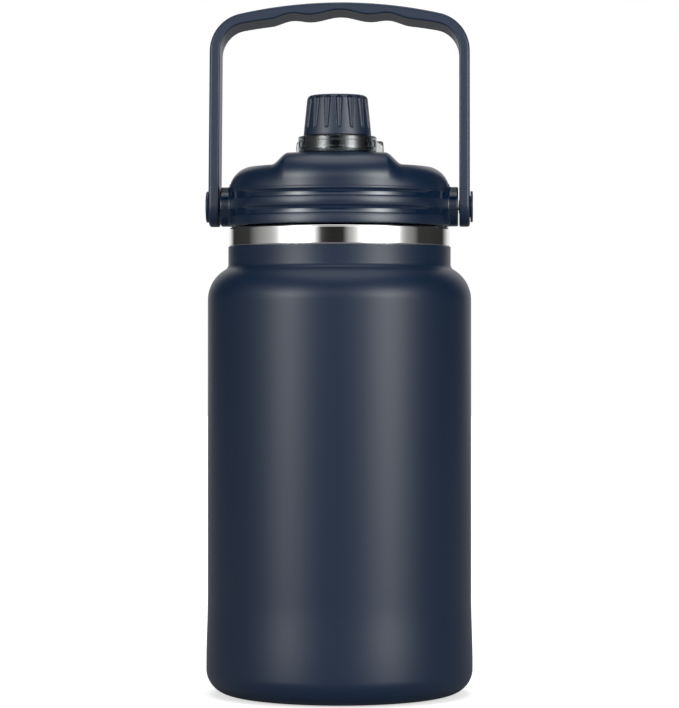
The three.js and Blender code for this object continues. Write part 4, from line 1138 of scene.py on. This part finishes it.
def handle():
    """The bail, and on each side a cover, a shoulder screw and a bush."""
    lift = np.array([0.0, 0.0, PIVOT_Z])
    low = (-LEG_OUTER_X, -STRAP_WIDTH / 2, -STRAP_WIDTH / 2)
    high = (LEG_OUTER_X, STRAP_WIDTH / 2, HANDLE_REACH)
    vertices, faces, normals = skin(handle_field, low, high, 0.62)
    vertices = leaned(vertices) + lift
    publish("handle_strap", vertices, faces, HANDLE_PLASTIC, "handle", "handle_bail", leaned(normals))
    seat_x, cover_r = LEG_OUTER_X + GAP, 8.9
    spigot_x, spigot_r = seat_x - 0.8, 6.2
    cover = rounded([
        (0.0, spigot_x), (spigot_r, spigot_x, 0.2), (spigot_r, seat_x), (cover_r, seat_x, 0.1),
        (cover_r, COVER_FACE_X, 0.6), (0.0, COVER_FACE_X),
    ])
    head_r, head_top_x = 5.2, SCREW_HEAD_X + 1.8
    screw = rounded([
        (0.0, SCREW_TIP_X), (SCREW_R, SCREW_TIP_X, 0.5), (SCREW_R, SCREW_HEAD_X),
        (head_r, SCREW_HEAD_X, 0.2), (head_r, head_top_x, 0.5), (0.0, head_top_x),
    ])
    low_x, high_x = BOSS_FACE_X + GAP, SCREW_HEAD_X - GAP
    bush = section(SCREW_R + GAP, LEG_BORE_R - GAP, low_x, high_x, 0.2, 0.2, 0.2, 0.2)
    kinds = (
        ("pivot_cap", cover, 96, HANDLE_PLASTIC, "handle", "pivot_cover"),
        ("shoulder_screw", screw, 48, POLISHED, "lid", "pivot_screw"),
        ("bush", bush, 48, BRUSHED, "lid", "pivot_bush"),
    )
    for word, side in SIDES:
        for name, outline, segments, finish, body, node in kinds:
            vertices, faces = lathe(outline, segments)
            vertices = along_x(vertices, side)
            if body == "handle":
                vertices = leaned(vertices)
            publish(f"{name}_{word}", vertices + lift, faces, finish, body, f"{node}_{word}")


# ---------------- stage, light and camera
FLOOR_REACH = 6.0
FLOOR_SHADE = (0.35, 0.35, 0.355)
FLOOR_SEEN = (0.88, 0.88, 0.88)
FLOOR_GLOW = 0.55
WHITE = (1.0, 1.0, 1.0, 1.0)
EYE_DISTANCE = 1.690
EYE_Z = 0.203
CAMERA_AZIMUTH = math.radians(2.2)
LENS = 150.1
SHIFT_Y = -0.022
# Brightness of the walls by azimuth in degrees, with 0 in front
PANELS = (
    (-180, 0.9), (-156, 0.8), (-142, 0.03), (-106, 0.04), (-92, 0.25), (-75, 0.45), (-52, 0.85),
    (-32, 0.9), (-22, 0.5), (-17, 0.02), (6, 0.02), (12, 0.4), (30, 0.9), (52, 0.8), (70, 0.4),
    (86, 0.2), (92, 0.04), (138, 0.03), (156, 0.8), (180, 0.9),
)
BAR_SPAN = ((-75, 0.0), (-55, 1.0), (55, 1.0), (75, 0.0))
# The two tall soft boxes: azimuth and width in degrees, strength
GLOWS = ((-43, 8.5, 9.0), (45, 9.5, 11.0))
# Brightness by height, from 0 straight below to 1 straight above
WALL_HEIGHTS = ((0.0, 0.03), (0.43, 0.03), (0.49, 1.0), (0.72, 1.0), (0.85, 0.2), (1.0, 0.2))
BOX_HEIGHTS = ((0.0, 0.0), (0.44, 0.0), (0.49, 1.0), (0.64, 1.0), (0.74, 0.0), (1.0, 0.0))
TOP_HEIGHTS = ((0.0, 0.0), (0.92, 0.0), (0.97, 1.0), (1.0, 1.0))
BAR_HEIGHTS = ((0.0, 0.0), (0.56, 0.0), (0.60, 1.0), (0.68, 1.0), (0.72, 0.0), (1.0, 0.0))
WALL_STRENGTH = 1.1
TOP_STRENGTH = 2.0
BAR_STRENGTH = 1.5


def stage():
    """A plain pale floor, brighter to the camera than to the jug."""
    mesh = bpy.data.meshes.new("floor")
    corners = [(FLOOR_REACH * i, FLOOR_REACH * j, 0) for i, j in ((-1, -1), (1, -1), (1, 1), (-1, 1))]
    mesh.from_pydata(corners, [], [(0, 1, 2, 3)])
    made, nodes, shader = surface("floor_pale", Roughness=0.9, Specular_IOR_Level=0.1)
    rays = nodes.add("ShaderNodeLightPath").outputs["Is Camera Ray"]
    nodes.link(nodes.blend(rays, FLOOR_SHADE, FLOOR_SEEN), shader.inputs["Base Color"])
    fill(shader, Emission_Color=WHITE)
    nodes.link(nodes.math("MULTIPLY", rays, FLOOR_GLOW), shader.inputs["Emission Strength"])
    mesh.materials.append(made)
    floor = bpy.data.objects.new("floor", mesh)
    bpy.context.scene.collection.objects.link(floor)


def ramp(nodes, value, stops):
    """A grey ramp with straight steps; stops are (place from 0 to 1, brightness)."""
    node = nodes.add("ShaderNodeValToRGB")
    elements = node.color_ramp.elements
    node.color_ramp.interpolation = "LINEAR"
    for n, (place, level) in enumerate(stops):
        element = elements[n] if n < 2 else elements.new(place)
        element.position = place
        element.color = (level, level, level, 1.0)
    nodes.link(value, node.inputs["Fac"])
    return node.outputs["Color"]


def studio():
    """Soft studio light: a dim room with two tall soft boxes in front and a pale wall behind."""
    world = bpy.data.worlds.new("studio")
    bpy.context.scene.world = world
    world.use_nodes = True
    nodes = Nodes(world.node_tree)
    x, y, z = nodes.axes(nodes.add("ShaderNodeTexCoord").outputs["Generated"])
    azimuth = nodes.math("ARCTAN2", x, nodes.math("MULTIPLY", y, -1.0))
    turn = nodes.math("DIVIDE", nodes.math("ADD", azimuth, math.pi), 2 * math.pi)
    height = nodes.math("DIVIDE", nodes.math("ADD", z, 1.0), 2.0)
    panels, span = [
        ramp(nodes, turn, [((degrees + 180) / 360, level) for degrees, level in stops])
        for stops in (PANELS, BAR_SPAN)
    ]
    tall, box, top, bar = [
        ramp(nodes, height, stops) for stops in (WALL_HEIGHTS, BOX_HEIGHTS, TOP_HEIGHTS, BAR_HEIGHTS)
    ]
    level = nodes.math("MULTIPLY", panels, nodes.math("MULTIPLY", tall, WALL_STRENGTH))
    for centre, width, strength in GLOWS:
        offset = nodes.math("SUBTRACT", azimuth, math.radians(centre))
        squared = nodes.math("POWER", nodes.math("DIVIDE", offset, math.radians(width)), 2.0)
        bell = nodes.math("EXPONENT", nodes.math("MULTIPLY", squared, -0.5))
        bell = nodes.math("MULTIPLY", bell, strength)
        level = nodes.math("ADD", level, nodes.math("MULTIPLY", bell, box))
    level = nodes.math("ADD", level, nodes.math("MULTIPLY", top, TOP_STRENGTH))
    bar = nodes.math("MULTIPLY", nodes.math("MULTIPLY", bar, span), BAR_STRENGTH)
    level = nodes.math("ADD", level, bar)
    light = fill(nodes.add("ShaderNodeBackground"), Color=WHITE)
    nodes.link(level, light.inputs["Strength"])
    backdrop = fill(nodes.add("ShaderNodeBackground"), Color=WHITE, Strength=1.0)
    rays = nodes.add("ShaderNodeLightPath")
    mix = nodes.add("ShaderNodeMixShader")
    output = nodes.add("ShaderNodeOutputWorld")
    nodes.link(rays.outputs["Is Camera Ray"], mix.inputs["Fac"])
    nodes.link(light.outputs["Background"], mix.inputs[1])
    nodes.link(backdrop.outputs["Background"], mix.inputs[2])
    nodes.link(mix.outputs["Shader"], output.inputs["Surface"])


def camera():
    data = bpy.data.cameras.new("camera")
    data.lens = LENS
    data.sensor_width = 36.0
    data.shift_y = SHIFT_Y
    data.clip_start = 0.05
    data.clip_end = 50.0
    eye = bpy.data.objects.new("camera", data)
    away = (math.sin(CAMERA_AZIMUTH), -math.cos(CAMERA_AZIMUTH))
    eye.location = (away[0] * EYE_DISTANCE, away[1] * EYE_DISTANCE, EYE_Z)
    eye.rotation_euler = (math.pi / 2, 0.0, CAMERA_AZIMUTH)
    bpy.context.scene.collection.objects.link(eye)
    bpy.context.scene.camera = eye
    bpy.context.scene.view_settings.view_transform = "Standard"


outer_shell()
base_parts()
neck_collar()
inner_liner()
lid_shell()
lid_skirt()
lid_inner_parts()
spout()
straw()
cap()
carrier()
handle()
foam_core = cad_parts["lid_foam_core"]
foam_core.data.materials.clear()
foam_core.data.materials.append(FOAM)
stage()
studio()
camera()
